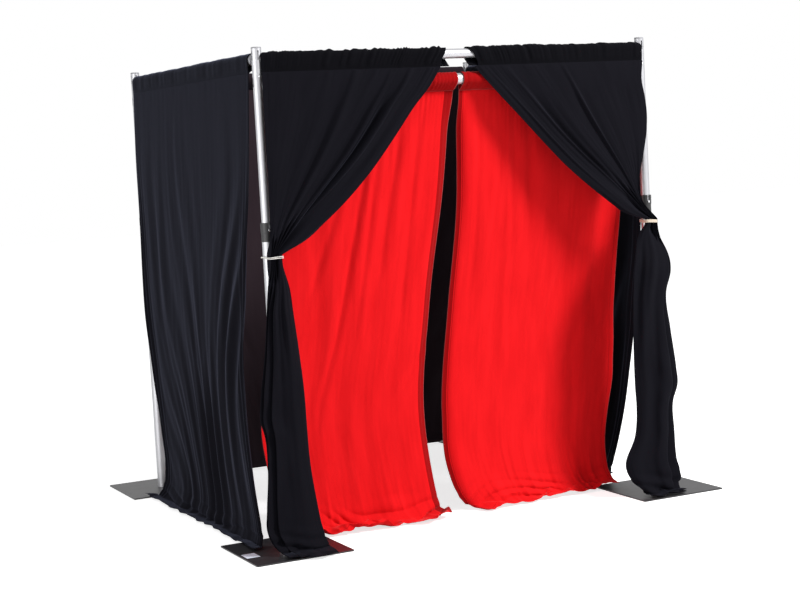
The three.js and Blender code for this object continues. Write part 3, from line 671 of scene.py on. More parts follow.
tied = {}
for tied_name, form in TIED.items():
    tied[tied_name] = cloth_piece(tied_name + "_drape_cloth", tied_drape(form), TIED_FLAT)

# %% [markdown]
# ## Red curtains
# Two lighter velvet curtains share the lower bar. They blow in towards the middle of the booth, their
# free edges curl back on themselves, and their hems lie on the floor in small crumpled ripples. Their
# edges are shares of the way along the bar, at shares of the drop, as in the CAD part.

# %% Edges and creases of the red curtains
RED_TOP = LOWER_BAR - RED_POCKET
RED_FLAT = (1.15, 2.15)
RED_BLOW = 0.155  # how far the breeze blows them in, where it is strongest
POCKET_END = 0.042  # from an upright's axis to a pocket's end
DROP_SHARES = (0, 0.25, 0.48, 0.73, 0.855, 0.94, 1)
BLOW_SHARES = (0, 0.39, 0.84, 1, 0.97, 0.88, 0.77)
# free and post: the free edge and the one at the upright. foot: how much lies on the floor. fan, buckle
# and rumpled: how strongly the floor crumples the cloth. leaning: fine folds that slant off the upright.
REDS = {
    "red_left": {
        "seed": 81, "foot": 0.085, "fan": 0.006, "buckle": 0.036, "rumpled": 1.7, "leaning": 0.0,
        "free": (0.487, 0.464, 0.435, 0.415, 0.425, 0.436, 0.446),
        "post": (0, 0.004, 0.010, -0.024, -0.006, 0.002, 0.004),
        "creases": (
            (0.28, 0.37, -0.75, 0.0045, 0.15, 0.55), (0.50, 0.27, -0.40, 0.0065, 0.06, 0.80),
            (0.57, 0.28, -0.24, 0.0050, 0.04, 0.60), (0.68, 0.26, -0.30, 0.0045, 0.02, 0.50),
            (0.82, 0.20, -0.11, 0.0035, 0.00, 0.60), (0.88, 0.64, -1.40, 0.0030, 0.50, 0.80),
        ),
    },
    "red_right": {
        "seed": 97, "foot": 0.055, "fan": 0.012, "buckle": 0.022, "rumpled": 1.0, "leaning": 0.0024,
        "free": (0.503, 0.507, 0.491, 0.459, 0.465, 0.497, 0.540),
        "post": (1, 0.985, 0.973, 0.959, 0.932, 0.935, 0.950),
        "creases": (
            (0.69, 0.05, -0.08, 0.0035, 0.00, 0.70), (0.78, 0.30, 0.20, 0.0030, 0.05, 0.50),
            (0.60, 0.05, -0.12, 0.0030, 0.00, 0.45), (0.88, 0.10, 0.02, 0.0030, 0.00, 0.60),
            (0.40, 0.50, 0.60, 0.0030, 0.35, 0.70),
        ),
    },
}


def on_lower_bar(share):
    """From a share of the way between the lower bar's pocket ends to metres from the left upright."""
    return blend_values(POCKET_END, WIDTH - POCKET_END, share)


for name, form in REDS.items():
    print(name, "pocket from", on_lower_bar(form["post"][0]), "to", round(on_lower_bar(form["free"][0]), 3))

# %% [markdown]
# Velvet as light as this shows single creases where it is pulled. Each one in the photograph is in the
# list: its place across and down, its slant, its depth, and the shares of the drop that it runs between.
# Near the floor the cloth has nowhere to go, so it fans out, buckles in rolls and lies rumpled.

# %% The folds of a red curtain
RED_FOLDS = ((0, 0.08, 0.3, 0.6, 0.8, 1), (0.0, 0.0012, 0.0026, 0.0030, 0.0028, 0.0024))
RED_FOLD_COUNT = 4.5
CREASE_HALF_WIDTH = 0.020  # as a share of the curtain's width
CURL, CURL_REACH = 0.022, 0.026  # how far the free edge curls back, and over what width
CRINKLE, CRINKLE_REACH = 0.0035, 0.09  # the crinkled edge at the upright
BUCKLE_SHARE = 0.034  # length of a roll near the floor, as a share of the drop


def red_folds(form, u, q):
    hill = seeded(form, u, q)
    warp = 0.6 * hill(3, 4, 2) + 0.18 * hill(4, 9, 4)
    depth = smooth_line(*RED_FOLDS, q) * (1 + 0.9 * hill(5, 7, 2))
    fold = depth * wave(RED_FOLD_COUNT * (u + 0.12 * q) + warp)
    for at_u, at_q, lean, deep, q_from, q_to in form["creases"]:
        off = u - at_u - lean * (q - at_q) + 0.012 * hill(19, 3, 8)
        off = off / CREASE_HALF_WIDTH
        seen = ramp(q_from, q_from + 0.12, q) * (1 - ramp(q_to - 0.2, q_to, q))
        fold = fold + 1.3 * deep * seen * (bell(off) - 0.6 * bell(off / 1.6 - 1.1))
    slanting = np.clip(u - 0.9 * (q - 0.6), 0, 1)
    leaning = form["leaning"] * seeded(form, slanting, q)(20, 34, 3)
    return fold + leaning * ramp(0.35, 0.6, q) * (1 - ramp(0.25, 0.6, u))


def red_crumple(form, u, q, low):
    """What the floor does to the cloth over it. low is 0 above that stretch and 1 in it."""
    hill, roll = seeded(form, u, q), seeded(form, u, q, rolls)
    swept = np.clip(u + 0.25 * (q - 0.9) * (0.5 - u) + 0.010 * hill(15, 4, 8), 0, 1)
    patches = 0.25 + 1.3 * abs(hill(23, 7, 5))
    fan = form["fan"] * ramp(0.78, 0.97, q) * seeded(form, swept, q, ripples)(22, 34, 7) ** 2 * patches
    bunched = 0.45 + 0.9 * hill(8, 5, 4)
    crumple = form["rumpled"] * 0.012 * low * hill(9, 10, 30) - fan
    return crumple - form["buckle"] * low * bunched * roll(10, BUCKLE_SHARE, 2.2)


def red_curtain(form, columns=168, rows=180):
    seed, place = form["seed"], SIDES["front"]
    u = np.linspace(0, 1, columns + 1)[None, :]  # 0 at the upright, 1 at the free edge
    uneven = 1.2 * hills(seed, 9, 1, u, 0.5)
    pleats = wave(PLEATS * u + uneven) * (0.75 + 0.6 * hills(seed + 14, 12, 1, u, 0.5))

    def gather(share):
        stand = 0.0028 + 0.0022 * pleats + 0.0010 * hills(seed + 1, 24, 3, u, share)
        return between_stitches(share) * stand

    def pocket_along(share):
        return blend_values(on_lower_bar(form["post"][0]), on_lower_bar(form["free"][0]), u) + 0 * share

    pocket = pocket_rows(place, LOWER_BAR, RED_POCKET, pocket_along, gather, facing=-1)
    q = hang_shares(rows, RED_TOP, foot_rows=70, foot_from=0.85)
    hill, ripple = seeded(form, u, q), seeded(form, u, q, ripples)
    post = on_lower_bar(smooth_line(DROP_SHARES, form["post"], q))
    free = on_lower_bar(smooth_line(DROP_SHARES, form["free"], q))
    along = blend_values(post, free, u) + 0.006 * hill(2, 3, 6) * ramp(0, 0.3, q)
    crease = 0.0006 * hill(7, 90, 16) * ramp(0, 0.05, q)
    pulls = 0.0016 * pleats * ramp(0, 0.006, q) * np.exp(-q / 0.06)
    low = ramp(0.89, 0.97, q)
    curl = CURL * bell((1 - u) * abs(free - post) / CURL_REACH) * ramp(0.0, 0.1, q)
    crinkle = CRINKLE * bell(u * abs(free - post) / CRINKLE_REACH)
    crinkle = crinkle * hill(16, 20, 36) * ramp(0.3, 0.5, q)
    inward = POCKET_RADIUS + RED_BLOW * smooth_line(DROP_SHARES, BLOW_SHARES, q)
    inward = inward + red_folds(form, u, q) + crease + pulls + red_crumple(form, u, q, low)
    inward = inward + curl + crinkle + 0.010 * ramp(0, 0.08, q)
    inward = inward + 0.010 * hill(11, 3, 4) * ramp(0.1, 0.6, q)
    foot = form["foot"] * (1 + 0.5 * hill(12, 6, 2))
    height, on_floor = landed(blend_values(RED_TOP, -foot, q) - 0.004, corner=0.014)
    along = along + 0.012 * on_floor / foot * hill(17, 8, 12)
    sheet = place(along, -(inward - 0.9 * on_floor), height)
    folded = 0.020 * ripple(13, 9, 44) ** 2 + 0.007 * ripple(18, 26, 60)
    folded = 0.003 + form["rumpled"] * ramp(0.93, 0.985, q) * folded
    # a drawn curtain's hem slides onto its plate, so it lies that high beside the plate too
    under = ground(sheet, beyond=0.30) + HEM_LIFT - FLOOR_GAP
    sheet[..., 2] += under * ramp(0.9, 0.97, q) + np.maximum(folded, 0) * low
    return np.concatenate([pocket, sheet])


reds = {}
for red_name, form in REDS.items():
    reds[red_name] = cloth_piece(red_name + "_curtain_cloth", red_curtain(form), RED_FLAT)

# %% [markdown]
# ## Tie-backs
# The left tie is a thin cord that goes twice round the upright and the bundle, and the right one is a
# flat beige band. Both are closed loops without ends. A pulled tie runs straight wherever it touches
# nothing, so its path is the tightest line round the upright and the bundle. A small ring of points is
# swept along that path, nearly round for the cord and flat for the band.

# %% The path of a tie
COLLAR_RADIUS = 0.0285


def tie_path(edges, slack, steps=120):
    """Evenly spaced (along, out) round the upright and the bundle, as a pulled cord lies."""
    turn = np.linspace(0, 2 * np.pi, 240, endpoint=False)
    cos, sin = np.cos(turn), np.sin(turn)
    squared = [np.sign(part) * abs(part) ** 0.6 for part in (cos, sin)]
    bundle = (
        (edges[0] + edges[1]) / 2 + ((edges[1] - edges[0]) / 2 + slack) * squared[0],
        TIE_OUT + (TIE_DEPTH + slack) * squared[1],
    )
    post = ((COLLAR_RADIUS + slack) * cos, (COLLAR_RADIUS + slack) * sin)
    reaches = [np.outer(cos, shape[0]) + np.outer(sin, shape[1]) for shape in (post, bundle)]
    farthest = [reach.argmax(axis=1) for reach in reaches]
    on_post = reaches[0].max(axis=1) > reaches[1].max(axis=1)
    hull = [np.where(on_post, post[k][farthest[0]], bundle[k][farthest[1]]) for k in (0, 1)]
    hull = np.stack([np.append(line, line[0]) for line in hull])
    run = np.concatenate([[0], np.cumsum(np.hypot(*np.diff(hull, axis=1)))])
    at = np.linspace(0, run[-1], steps, endpoint=False)
    along, out = (np.interp(at, run, line) for line in hull)
    print("tie's way round", round(float(run[-1]), 3), "m")
    return 2 * np.pi * at / run[-1], along, out


def loop_mesh(name, centre, ring):
    """Sweeps a ring of offsets round a closed path of centres. ring is (steps, sides, 3)."""
    steps, sides = ring.shape[:2]
    points = centre[:, None, :] + ring
    at = np.arange(steps * sides).reshape(steps, sides)
    ahead_row = np.roll(at, -1, axis=0)
    quads = (at, ahead_row, np.roll(ahead_row, -1, axis=1), np.roll(at, -1, axis=1))
    faces = np.stack(quads, -1).reshape(-1, 4)
    lap, girth = np.arange(steps + 1) / steps, np.arange(sides + 1) / sides
    ends = ((0, 0), (1, 0), (1, 1), (0, 1))
    corners = [(lap[i + a], girth[j + b]) for i in range(steps) for j in range(sides) for a, b in ends]
    piece = mapped_piece(name, points, faces, "tie_map", corners)
    bpy.ops.object.mode_set(mode="EDIT")
    bpy.ops.mesh.select_all(action="SELECT")
    bpy.ops.mesh.normals_make_consistent(inside=False)
    bpy.ops.object.mode_set(mode="OBJECT")
    bpy.ops.object.shade_smooth_by_angle(angle=math.radians(50))
    print(name, len(piece.data.polygons), "faces")
    return piece


def tie_loop(name, form, half_thick, half_wide, slack, sides=12, lift=0.0, tilt=0.0):
    """A tie round a drape's bundle, so far over or under the tie's height and a little aslant."""
    turn, along, out = tie_path(form["tie"], slack)
    rise = form["tie_height"] + lift + tilt * np.cos(turn) + 0.0012 * np.sin(3 * turn)
    centre = SIDES[form["side"]](along, out, rise)
    heading = np.roll(centre, -1, axis=0) - np.roll(centre, 1, axis=0)
    heading /= np.linalg.norm(heading, axis=-1, keepdims=True)
    across = np.cross(heading, (0.0, 0.0, 1.0))
    across /= np.linalg.norm(across, axis=-1, keepdims=True)
    upward = np.cross(across, heading)
    angle = 2 * np.pi * (np.arange(sides) + 0.5) / sides
    flat = np.sign(np.cos(angle)) * abs(np.cos(angle)) ** 0.7 * half_thick
    tall = np.sign(np.sin(angle)) * abs(np.sin(angle)) ** 0.7 * half_wide
    ring = across[:, None, :] * flat[None, :, None] + upward[:, None, :] * tall[None, :, None]
    return loop_mesh(name, centre, ring)


CORD_RADIUS, CORD_SLACK = 0.0018, 0.0035  # slack is from the cloth to the middle of the tie
BAND_HALF_THICK, BAND_HALF_WIDE, BAND_SLACK = 0.0010, 0.0075, 0.0030
cord_loop = partial(tie_loop, form=TIED["front_left"], half_thick=CORD_RADIUS, half_wide=CORD_RADIUS)
strands = [
    cord_loop("left_tie_strand_upper", slack=CORD_SLACK, lift=0.0024, tilt=0.0010),
    cord_loop("left_tie_strand_lower", slack=CORD_SLACK, lift=-0.0024, tilt=-0.0012),
]
band = tie_loop(
    "right_tie_ribbon", TIED["front_right"], BAND_HALF_THICK, BAND_HALF_WIDE, BAND_SLACK, sides=16, tilt=0.002
)

# %% [markdown]
# ## Metal pieces
# The frame's tubes are round, and the CAD solids have twenty sides to keep them light. Seen close, the
# corners would show, so each tube is modelled again with more sides. A turned piece starts as a circle.
# Its ring is extruded and scaled from one point of the profile to the next, as on a lathe. A fine bevel
# then breaks the sharp edges, and weighted normals keep the flat faces beside it looking flat.

# %% Helpers for modelled pieces
def turned(name, profile, sides=48, hollow=False):
    """A turned piece about Z from (radius, height) points. A hollow one closes on its first ring."""
    radius, height = profile[0]
    fill = "NOTHING" if hollow else "NGON"
    bpy.ops.mesh.primitive_circle_add(vertices=sides, radius=radius, fill_type=fill, location=(0, 0, height))
    piece = bpy.context.object
    piece.name = name
    bpy.ops.object.transform_apply(location=True, rotation=False, scale=False)
    bpy.ops.object.mode_set(mode="EDIT")
    bpy.ops.mesh.select_all(action="SELECT")
    for next_radius, next_height in [*profile[1:], *(profile[:1] if hollow else [])]:
        bpy.ops.mesh.extrude_region_move(TRANSFORM_OT_translate={"value": (0, 0, next_height - height)})
        grow = next_radius / radius
        bpy.ops.transform.resize(value=(grow, grow, 1))
        radius, height = next_radius, next_height
    bpy.ops.mesh.select_all(action="SELECT")
    bpy.ops.mesh.remove_doubles(threshold=1e-6)
    bpy.ops.mesh.normals_make_consistent(inside=False)
    bpy.ops.object.mode_set(mode="OBJECT")
    return piece


def cut(piece, cutter):
    """Takes the cutter's shape out of the piece, and the cutter away."""
    only(piece)
    boolean = piece.modifiers.new("cut", "BOOLEAN")
    boolean.operation = "DIFFERENCE"
    boolean.solver = "EXACT"
    boolean.object = cutter
    bpy.ops.object.modifier_apply(modifier=boolean.name)
    bpy.data.objects.remove(cutter)


def box(low, high):
    """A box between two corners."""
    low, high = Vector(low), Vector(high)
    bpy.ops.mesh.primitive_cube_add(size=1, location=(low + high) / 2, scale=high - low)
    bpy.ops.object.transform_apply(location=True, rotation=True, scale=True)
    return bpy.context.object


def rod(radius, reach, height):
    """A rod from the axis towards the front at a height, for a round hole in a tube."""
    middle = (0, -reach / 2, height)
    bpy.ops.mesh.primitive_cylinder_add(
        vertices=32, radius=radius, depth=reach, location=middle, rotation=(math.pi / 2, 0, 0)
    )
    bpy.ops.object.transform_apply(location=True, rotation=True, scale=True)
    return bpy.context.object


def soften(piece, width, segments=2, angle=35):
    """Rounds the edges that turn by more than the angle, and shades the rest smooth."""
    only(piece)
    bevel = piece.modifiers.new("rounded_edges", "BEVEL")
    bevel.width = width
    bevel.segments = segments
    bevel.limit_method = "ANGLE"
    bevel.angle_limit = math.radians(angle)
    bpy.ops.object.modifier_apply(modifier=bevel.name)
    bpy.ops.object.shade_smooth_by_angle(angle=math.radians(angle))
    shading = piece.modifiers.new("flat_faces_stay_flat", "WEIGHTED_NORMAL")
    shading.keep_sharp = True
    bpy.ops.object.modifier_apply(modifier=shading.name)
    return piece


def tube(name, radius, bore, low, high):
    return turned(name, [(radius, low), (radius, high), (bore, high), (bore, low)], hollow=True)


def turned_to_front(name, profile, sides, height):
    """A small round piece that faces the front at a height, such as a button."""
    piece = turned(name, profile, sides=sides)
    piece.data.transform(Matrix.Rotation(math.pi / 2, 4, "X"))
    piece.data.transform(Matrix.Translation((0, 0, height)))
    return soften(piece, 0.0002, segments=1, angle=60)


def set_down(master, name, matrix, body, node):
    """A copy of a master with its own mesh, moved in its mesh, riding on a body for a CAD node."""
    piece = master.copy()
    piece.data = master.data.copy()
    piece.name = name
    scene.collection.objects.link(piece)
    piece.data.transform(matrix)
    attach(piece, body)
    if node:
        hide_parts(node)
    return piece


# %% [markdown]
# ## Uprights
# An upright is two tubes. The upper one slides in the lower one, and a spring button locks it in the
# notch of a black collar. The head has slots that the crossbars hook into. Each piece is modelled once
# on the axis of the world and copied to the four corners.

# %% Model one upright
COLLAR_TOP = 1.45
BUTTON_HEIGHT = 1.418
BUTTON_HOLE = 0.0053
RIVET_HEIGHT = 2.084
HEAD_TOP = 2.2037
UPPER_TUBE_LENGTH = 1.3
LOWER_TUBE_ENDS = (0.00665, 1.4397)  # just clear of the plate and of the collar's shoulder
SLOT_SILL = 2.153  # of the upper tier, with a slot in each quarter of the head. The lower one has two
TIER_DROP = 0.115
SLOT_CUTS = ((0.0032, 0.006, 0.041), (0.0045, 0.0, 0.012))  # half width, from and to over the sill

upper_tube = tube("upper_tube_master", INNER_RADIUS, INNER_BORE, HEAD_TOP - UPPER_TUBE_LENGTH, HEAD_TOP)
cut(upper_tube, rod(BUTTON_HOLE, 0.03, BUTTON_HEIGHT))
for sill, quarters in ((SLOT_SILL, (0, 1, 2, 3)), (SLOT_SILL - TIER_DROP, (1, 3))):
    for quarter in quarters:
        for half_width, low, high in SLOT_CUTS:
            cutter = box((-half_width, -0.03, sill + low), (half_width, -0.012, sill + high))
            cutter.data.transform(Matrix.Rotation(quarter * math.pi / 2, 4, "Z"))
            cut(upper_tube, cutter)
soften(upper_tube, 0.0003, segments=1)

lower_tube = tube("lower_tube_master", OUTER_RADIUS, OUTER_BORE, *LOWER_TUBE_ENDS)
collar = turned(
    "collar_master",
    [
        (0.0269, 1.367), (0.0269, 1.4045), (0.0278, 1.4062), (COLLAR_RADIUS, 1.4075),
        (COLLAR_RADIUS, 1.4470), (0.0276, 1.4492), (0.0262, COLLAR_TOP), (0.022525, COLLAR_TOP),
        (0.022525, 1.4400), (0.0257, 1.4400), (0.0257, 1.367),
    ],
    hollow=True,
)
for piece in (lower_tube, collar):  # the button's notch, open to the top
    cut(piece, rod(BUTTON_HOLE, 0.04, BUTTON_HEIGHT))
    cut(piece, box((-BUTTON_HOLE, -0.04, BUTTON_HEIGHT), (BUTTON_HOLE, -0.01, 1.46)))
soften(lower_tube, 0.0004, segments=1)
soften(collar, 0.0005)

top_cap = turned(
    "top_cap_master",
    [
        (0.0199, 2.195), (0.0199, 2.204), (INNER_RADIUS, 2.204), (INNER_RADIUS, 2.2078),
        (0.0216, 2.2093), (0.0203, 2.21), (0.012, 2.21),
    ],
)
soften(top_cap, 0.0003, segments=1)

BUTTON_PROFILE = [
    (0.008, 0.0165), (0.008, 0.018), (0.005, 0.018), (0.005, 0.0305), (0.0046, 0.0312), (0.0036, 0.0318),
    (0.0018, 0.0321),
]
RIVET_PROFILE = [(0.005, 0.0205), (0.005, 0.0231), (0.0047, 0.0239), (0.0038, 0.0245), (0.0022, 0.0249)]
snap_button = turned_to_front("snap_button_master", BUTTON_PROFILE, 32, BUTTON_HEIGHT)
rivet = turned_to_front("rivet_master", RIVET_PROFILE, 28, RIVET_HEIGHT)
for piece in (upper_tube, lower_tube, collar, top_cap, snap_button, rivet):
    print(piece.name, [round(c, 4) for c in piece.dimensions])

# %% [markdown]
# The base is a square steel plate with rounded corners and a hole for the pin's stud. It starts as a
# cube. Its four upright edges are bevelled in edit mode, and a fine bevel then breaks all its edges.

# %% Model one base plate
PLATE_CORNER = 0.008
STUD_HOLE = 0.0088
HALF_PLATE = PLATE_SIDE / 2
base_plate = box((-HALF_PLATE, -HALF_PLATE, 0), (HALF_PLATE, HALF_PLATE, PLATE_TOP))
base_plate.name = "base_plate_master"
bpy.ops.object.mode_set(mode="EDIT")
bpy.ops.mesh.select_mode(type="EDGE")
bpy.ops.mesh.select_all(action="DESELECT")
bpy.ops.object.mode_set(mode="OBJECT")
for edge in base_plate.data.edges:
    a, b = (base_plate.data.vertices[k].co for k in edge.vertices)
    edge.select = abs(a.z - b.z) > PLATE_TOP / 2
bpy.ops.object.mode_set(mode="EDIT")
bpy.ops.mesh.bevel(offset=PLATE_CORNER, segments=6, affect="EDGES")
bpy.ops.object.mode_set(mode="OBJECT")
bpy.ops.mesh.primitive_cylinder_add(vertices=32, radius=STUD_HOLE, depth=0.03)
cut(base_plate, bpy.context.object)
soften(base_plate, 0.0007)
print("base plate", [round(c, 4) for c in base_plate.dimensions])

# %% [markdown]
# ## Crossbars
# A crossbar is a thin tube that slides in a thicker one, with a steel hook at either end. The hooks
# stay the CAD solids. The tubes are turned upright, laid down, and set between their uprights.

# %% Set out the uprights and crossbars
metal = {"aluminium": [], "collar": [], "chrome": [], "cap": [], "plate": []}
for corner, (x, y) in POSTS.items():
    there = Matrix.Translation((x, y, 0))
    for master, part, body, node, slot, finish in (
        (upper_tube, "upper_tube_smooth", "mast", "upper_tube", "tube_aluminium", "aluminium"),
        (lower_tube, "lower_tube_smooth", "stand", "lower_tube", "tube_aluminium", "aluminium"),
        (collar, "collar_smooth", "stand", "collar", "collar_black", "collar"),
        (snap_button, "snap_button_smooth", "button", "snap_button", "button_chrome", "chrome"),
        (top_cap, "top_cap_smooth", "mast", "top_cap", "cap_grey", "cap"),
        (rivet, "rivet", "mast", None, "button_chrome", "chrome"),
        (base_plate, "base_plate_smooth", "stand", "base_plate", "base_steel", "plate"),
    ):
        node_name = f"{corner}_{node}" if node else None
        piece = set_down(master, f"{corner}_{part}", there, f"{corner}_{body}", node_name)
        metal[finish].append(piece)

BAR_END = 0.035525  # from an upright's axis to the start of a bar's tube
BAR_OVERLAP = 0.38
# each bar: length of its outer tube, distance between its uprights, heading, and where it starts
BARS = {
    "front": (0.88, WIDTH, 0.0, (-WIDTH / 2, -DEPTH / 2, UPPER_BAR)),
    "red": (1.22, WIDTH, 0.0, (-WIDTH / 2, -DEPTH / 2, LOWER_BAR)),
    "back": (1.22, WIDTH, 0.0, (-WIDTH / 2, DEPTH / 2, UPPER_BAR)),
    "left": (1.0, DEPTH, math.pi / 2, (-WIDTH / 2, -DEPTH / 2, UPPER_BAR)),
    "right": (1.0, DEPTH, math.pi / 2, (WIDTH / 2, -DEPTH / 2, UPPER_BAR)),
}
lying = Matrix.Rotation(math.pi / 2, 4, "Y")
for bar_name, (outer_length, span, heading_angle, start) in BARS.items():
    laid = Matrix.Translation(start) @ Matrix.Rotation(heading_angle, 4, "Z") @ lying
    inner_start = BAR_END + outer_length - BAR_OVERLAP
    for layer, radius, bore, low, high in (
        ("outer", OUTER_RADIUS, OUTER_BORE, BAR_END, BAR_END + outer_length),
        ("inner", INNER_RADIUS, INNER_BORE, inner_start, span - BAR_END),
    ):
        master = soften(tube("bar_master", radius, bore, low, high), 0.0004, segments=1)
        name = f"{bar_name}_bar_{layer}_tube"
        body = f"{bar_name}_bar_{layer}"
        metal["aluminium"].append(set_down(master, name + "_smooth", laid, body, name))
        bpy.data.objects.remove(master)
for master in (upper_tube, lower_tube, collar, snap_button, top_cap, rivet, base_plate):
    bpy.data.objects.remove(master)
print({finish: len(pieces) for finish, pieces in metal.items()})

# %% [markdown]
# ## Shared effects
# All velvet shares a fine nap with slow changes of shade, and the lines of its hems. Metal, plastic and
# paper share dust and scuffs. Each effect is a node group, built once, and every material feeds it its
# own values. The groups only put out values, and the shaders stay in the materials.

# %% Node group: nap
def new_group(name, inputs, outputs):
    group = bpy.data.node_groups.new(name, "ShaderNodeTree")
    for label, value in inputs:
        socket = group.interface.new_socket(name=label, in_out="INPUT", socket_type="NodeSocketFloat")
        socket.default_value = value
    for label in outputs:
        group.interface.new_socket(name=label, in_out="OUTPUT", socket_type="NodeSocketFloat")
    return group, group.nodes.new("NodeGroupInput"), group.nodes.new("NodeGroupOutput")


def put_out(group, group_output, **values):
    for label, value in values.items():
        group.links.new(value, group_output.inputs[label])


def math_node(tree, operation, a, b=None, clamp=False):
    node = tree.nodes.new("ShaderNodeMath")
    node.operation = operation
    node.use_clamp = clamp
    for socket, value in zip(node.inputs, (a, b)):
        if isinstance(value, bpy.types.NodeSocket):
            tree.links.new(value, socket)
        elif value is not None:
            socket.default_value = value
    return node.outputs[0]


def noise_node(tree, vector, scale=None, detail=2.0, roughness=0.5):
    """Noise with the scale of a socket, or of 1 on a vector that is stretched already."""
    node = tree.nodes.new("ShaderNodeTexNoise")
    tree.links.new(vector, node.inputs["Vector"])
    if scale is not None:
        tree.links.new(scale, node.inputs["Scale"])
    else:
        node.inputs["Scale"].default_value = 1.0
    node.inputs["Detail"].default_value = detail
    node.inputs["Roughness"].default_value = roughness
    return node.outputs["Fac"]


def stretched(tree, vector, scale):
    node = tree.nodes.new("ShaderNodeMapping")
    node.inputs["Scale"].default_value = scale
    tree.links.new(vector, node.inputs["Vector"])
    return node.outputs["Vector"]


nap_group, nap_in, nap_out = new_group(
    "nap", (("Fineness", 900.0), ("Patches", 6.0), ("Contrast", 0.5)), ("Shade", "Height")
)
nap_maths, nap_noise = partial(math_node, nap_group), partial(noise_node, nap_group)
nap_map = nap_group.nodes.new("ShaderNodeTexCoord").outputs["UV"]
pile = nap_noise(nap_map, nap_in.outputs["Fineness"], roughness=0.6)
brushed = nap_noise(stretched(nap_group, nap_map, (2.6, 0.7, 1.0)), nap_in.outputs["Patches"], detail=4.0)
streaks = nap_noise(stretched(nap_group, nap_map, (60.0, 2.5, 1.0)), detail=3.0)
slow = nap_maths("ADD", nap_maths("MULTIPLY", brushed, 0.6), nap_maths("MULTIPLY", streaks, 0.25))
mixed = nap_maths("ADD", slow, nap_maths("MULTIPLY", pile, 0.35))
contrast = nap_maths("MULTIPLY", nap_in.outputs["Contrast"], 3.0)
shade = nap_maths("MULTIPLY", nap_maths("SUBTRACT", mixed, 0.6), contrast)
put_out(nap_group, nap_out, Shade=nap_maths("ADD", shade, 0.5, clamp=True), Height=pile)
print("nap group", len(nap_group.nodes), "nodes")

# %% [markdown]
# Hems need a mask of their own. The cloth's map is in metres from one corner, so the distance to an
# edge is a subtraction away. The overlocked edge is paler than the cloth, and the stitched line a few
# centimetres in is a shallow groove, bumped in and also darkened with painted shade. The header and side
# masks mark where the cloth lies in two layers, for painted shade there.

# %% Node group: hem lines
STITCH_WIDTH, SERGED_WIDTH = 0.0025, 0.004

hem_group, hem_in, hem_out = new_group(
    "hem_lines", (("Width", 1.3), ("Length", 2.2), ("Pocket", 0.2), ("Inset", 0.03), ("Turned", 0.0)),
    ("Groove", "Edge", "Header", "Side"),
)
hem_maths, hem = partial(math_node, hem_group), hem_in.outputs
place_on_cloth = hem_group.nodes.new("ShaderNodeSeparateXYZ")
hem_group.links.new(hem_group.nodes.new("ShaderNodeTexCoord").outputs["UV"], place_on_cloth.inputs[0])
from_left = place_on_cloth.outputs["X"]
from_right = hem_maths("SUBTRACT", hem["Width"], from_left)
from_top = hem_maths("MULTIPLY", place_on_cloth.outputs["Y"], -1.0)
from_bottom = hem_maths("SUBTRACT", hem["Length"], from_top)
to_side = hem_maths("MINIMUM", from_left, from_right)
to_edge = hem_maths("MINIMUM", to_side, from_bottom)
off_line = hem_maths("ABSOLUTE", hem_maths("SUBTRACT", to_edge, hem["Inset"]))
off_seam = hem_maths("ABSOLUTE", hem_maths("SUBTRACT", from_top, hem["Pocket"]))
nearest = hem_maths("MINIMUM", off_line, off_seam)
put_out(
    hem_group, hem_out,
    Groove=hem_maths("SUBTRACT", 1.0, hem_maths("DIVIDE", nearest, STITCH_WIDTH), clamp=True),
    Edge=hem_maths("SUBTRACT", 1.0, hem_maths("DIVIDE", to_side, SERGED_WIDTH), clamp=True),
    Header=hem_maths("LESS_THAN", from_top, hem["Pocket"]),
    Side=hem_maths("LESS_THAN", from_right, hem["Turned"]),
)
print("hem group", len(hem_group.nodes), "nodes")

# %% [markdown]
# Hired gear is dusty and rubbed. Cloudy noise, cut off below a level, makes the dust, and noise drawn out
# along the piece makes the fine scratches. Both follow the piece itself, so they move with it.

# %% Node group: dust and scuffs
wear_group, wear_in, wear_out = new_group(
    "wear", (("Scale", 20.0), ("Amount", 0.5), ("Scratches", 0.4)), ("Dust", "Scuff", "Height")
)
wear_maths, wear_noise = partial(math_node, wear_group), partial(noise_node, wear_group)
wear_map = wear_group.nodes.new("ShaderNodeTexCoord").outputs["Object"]
cloudy = wear_noise(wear_map, wear_in.outputs["Scale"], detail=6.0, roughness=0.62)
fine = wear_noise(stretched(wear_group, wear_map, (420.0, 420.0, 9.0)), detail=3.0, roughness=0.7)
dusty = wear_maths("MULTIPLY", wear_maths("SUBTRACT", cloudy, 0.45), 3.2, clamp=True)
scratched = wear_maths("MULTIPLY", wear_maths("SUBTRACT", fine, 0.55), 6.0, clamp=True)
put_out(
    wear_group, wear_out, Height=fine,
    Dust=wear_maths("MULTIPLY", dusty, wear_in.outputs["Amount"]),
    Scuff=wear_maths("MULTIPLY", scratched, wear_in.outputs["Scratches"]),
)
print("wear group", len(wear_group.nodes), "nodes")

# %% [markdown]
# ## Finishes
# Velvet is nearly black or a strong red, very rough, with a sheen that lights the folds' shoulders. The
# mix between two close shades follows the nap. The headers, and the red curtains' turned-back free
# edges, lie in two layers of cloth, and they are darker with painted shade, as less light shines through
# two layers than through one.

# %% Helpers for materials
def new_finish(name, **values):
    """A new material with plain values. The shader's inputs are named with _ for a space."""
    finish = bpy.data.materials.new(name)
    finish.use_nodes = True
    tree = finish.node_tree
    shader = tree.nodes["Principled BSDF"]
    for label, value in values.items():
        shader.inputs[label.replace("_", " ")].default_value = value
    return finish, tree, shader


def use_group(tree, group, **values):
    node = tree.nodes.new("ShaderNodeGroup")
    node.node_tree = group
    for label, value in values.items():
        node.inputs[label].default_value = value
    return node


